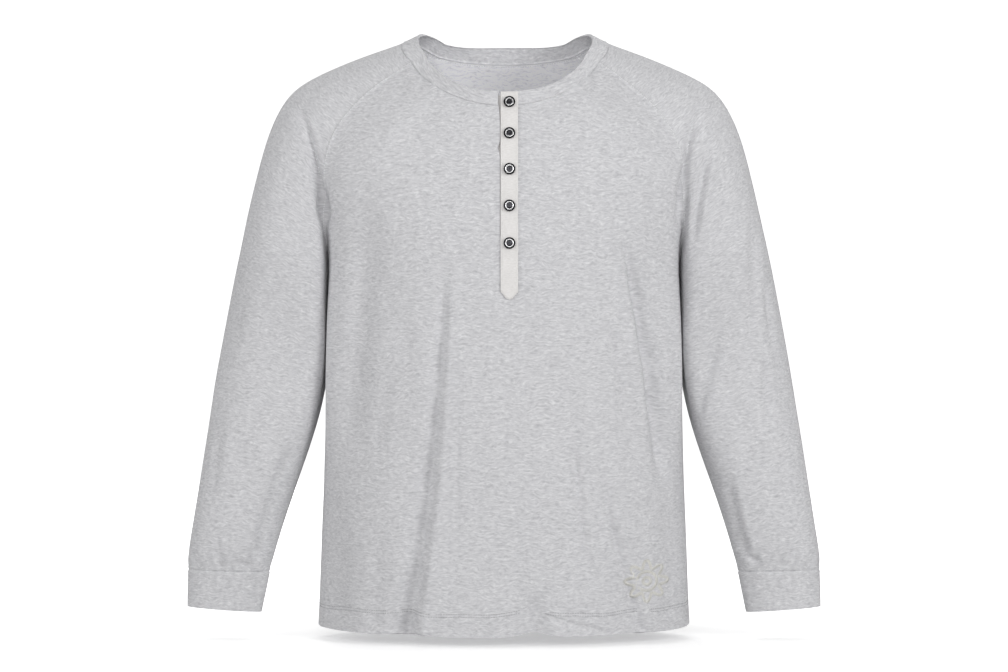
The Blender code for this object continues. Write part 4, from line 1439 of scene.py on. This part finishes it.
def add_lights():
    world = bpy.data.worlds.new("studio")
    world.use_nodes = True
    background = world.node_tree.nodes["Background"]
    background.inputs["Color"].default_value = (1, 1, 1, 1)
    background.inputs["Strength"].default_value = WORLD_STRENGTH
    bpy.context.scene.world = world
    for light in LIGHTS:
        place = (light.x, light.y, light.z)
        add_light(light.name, place, LIGHTS_AIM, (light.wide, light.high), light.power)


def add_camera():
    data = bpy.data.cameras.new("camera")
    data.sensor_width = SENSOR
    data.lens = FOCAL_SHARE * SENSOR
    made = bpy.data.objects.new("camera", data)
    made.location = (0, -CAMERA_DISTANCE, CAMERA_HEIGHT)
    made.rotation_euler = (math.pi / 2, 0, 0)
    bpy.context.scene.collection.objects.link(made)
    bpy.context.scene.camera = made


# ---------------------------------------------------------------- the whole shirt

Sheet = namedtuple("Sheet", "width length area")


def build_shirt():
    jersey = heather_jersey("heather_jersey_face", 1.0)
    # The inner layers' reverse is painted paler: partly the knit's own reverse, partly painted
    # light inside the shirt.
    reverse = heather_jersey("heather_jersey_reverse_painted_light", REVERSE_TONE_WITH_PAINTED_LIGHT)
    band = (
        heather_jersey("heather_jersey_band", BAND_TONE),
        heather_jersey("heather_jersey_band_reverse_painted_light", BAND_REVERSE_TONE_WITH_PAINTED_LIGHT),
    )
    twill = ivory_twill()
    grey_thread = thread("grey_thread", (0.66, 0.66, 0.67), (0.54, 0.54, 0.55))
    dark_thread = thread("dark_thread", (0.36, 0.36, 0.37), (0.28, 0.28, 0.29))
    pale_thread = thread("pale_thread", (0.86, 0.86, 0.87), (0.74, 0.74, 0.75))
    satin_thread = thread("satin_thread", (0.71, 0.70, 0.665), (0.60, 0.592, 0.562))
    ivory_thread = thread("ivory_thread", (0.78, 0.77, 0.75), (0.68, 0.67, 0.65))
    fine = subdivided(build_cage())
    press(fine)
    panels = {
        name: add_panel(fine, name, band if name == "neckband" else (jersey, reverse))
        for name in PANELS
    }

    closed = placket_tree(fine)
    half = PLACKET_WIDTH / 2
    dents = [(at + DENT_BELOW[0], *DENT_BELOW[1:]) for at in BUTTON_HEIGHTS]
    dents += [(at + DENT_ABOVE[0], *DENT_ABOVE[1:]) for at in BUTTON_HEIGHTS[1:]]
    upper = add_strip(
        closed, "placket_tape", PLACKET_MIDDLE - half, PLACKET_MIDDLE + half, PLACKET_TOP,
        pointed_end, UPPER_CLEAR, UPPER_CLOTH, twill, dents,
    )
    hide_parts("placket_upper")
    middle = PLACKET_MIDDLE + UNDER_SHIFT
    under = add_strip(
        closed, "under_tape", middle - UNDER_WIDTH / 2, middle + UNDER_WIDTH / 2, UNDER_TOP,
        lambda _: UNDER_BOTTOM, UNDER_CLEAR, UNDER_CLOTH, twill,
    )
    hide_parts("placket_under")

    cap = metal("dark_cap", (0.030, 0.030, 0.034), (0.075, 0.075, 0.082), 0.30, 0.45)
    ring = metal("bright_ring", (0.80, 0.80, 0.80), (0.95, 0.95, 0.95), 0.22, 0.40)
    rim = metal("dark_rim", (0.012, 0.012, 0.014), (0.030, 0.030, 0.034), 0.26, 0.42)
    add_buttons((cap, ring, rim))

    cloth_tree = surface_tree(list(panels.values()))
    sew_raglans(fine, cloth_tree, pale_thread)
    sew_neckband(fine, cloth_tree, grey_thread)
    sew_cuffs(fine, cloth_tree, grey_thread)
    sew_hem(fine, cloth_tree, dark_thread)
    sew_placket(upper, ivory_thread)
    embroider(cloth_tree, satin_thread)
    bpy.data.meshes.remove(fine)


def main():
    add_camera()
    add_stage()
    add_lights()
    scene = bpy.context.scene
    scene.view_settings.view_transform = "Standard"
    build_shirt()


main()
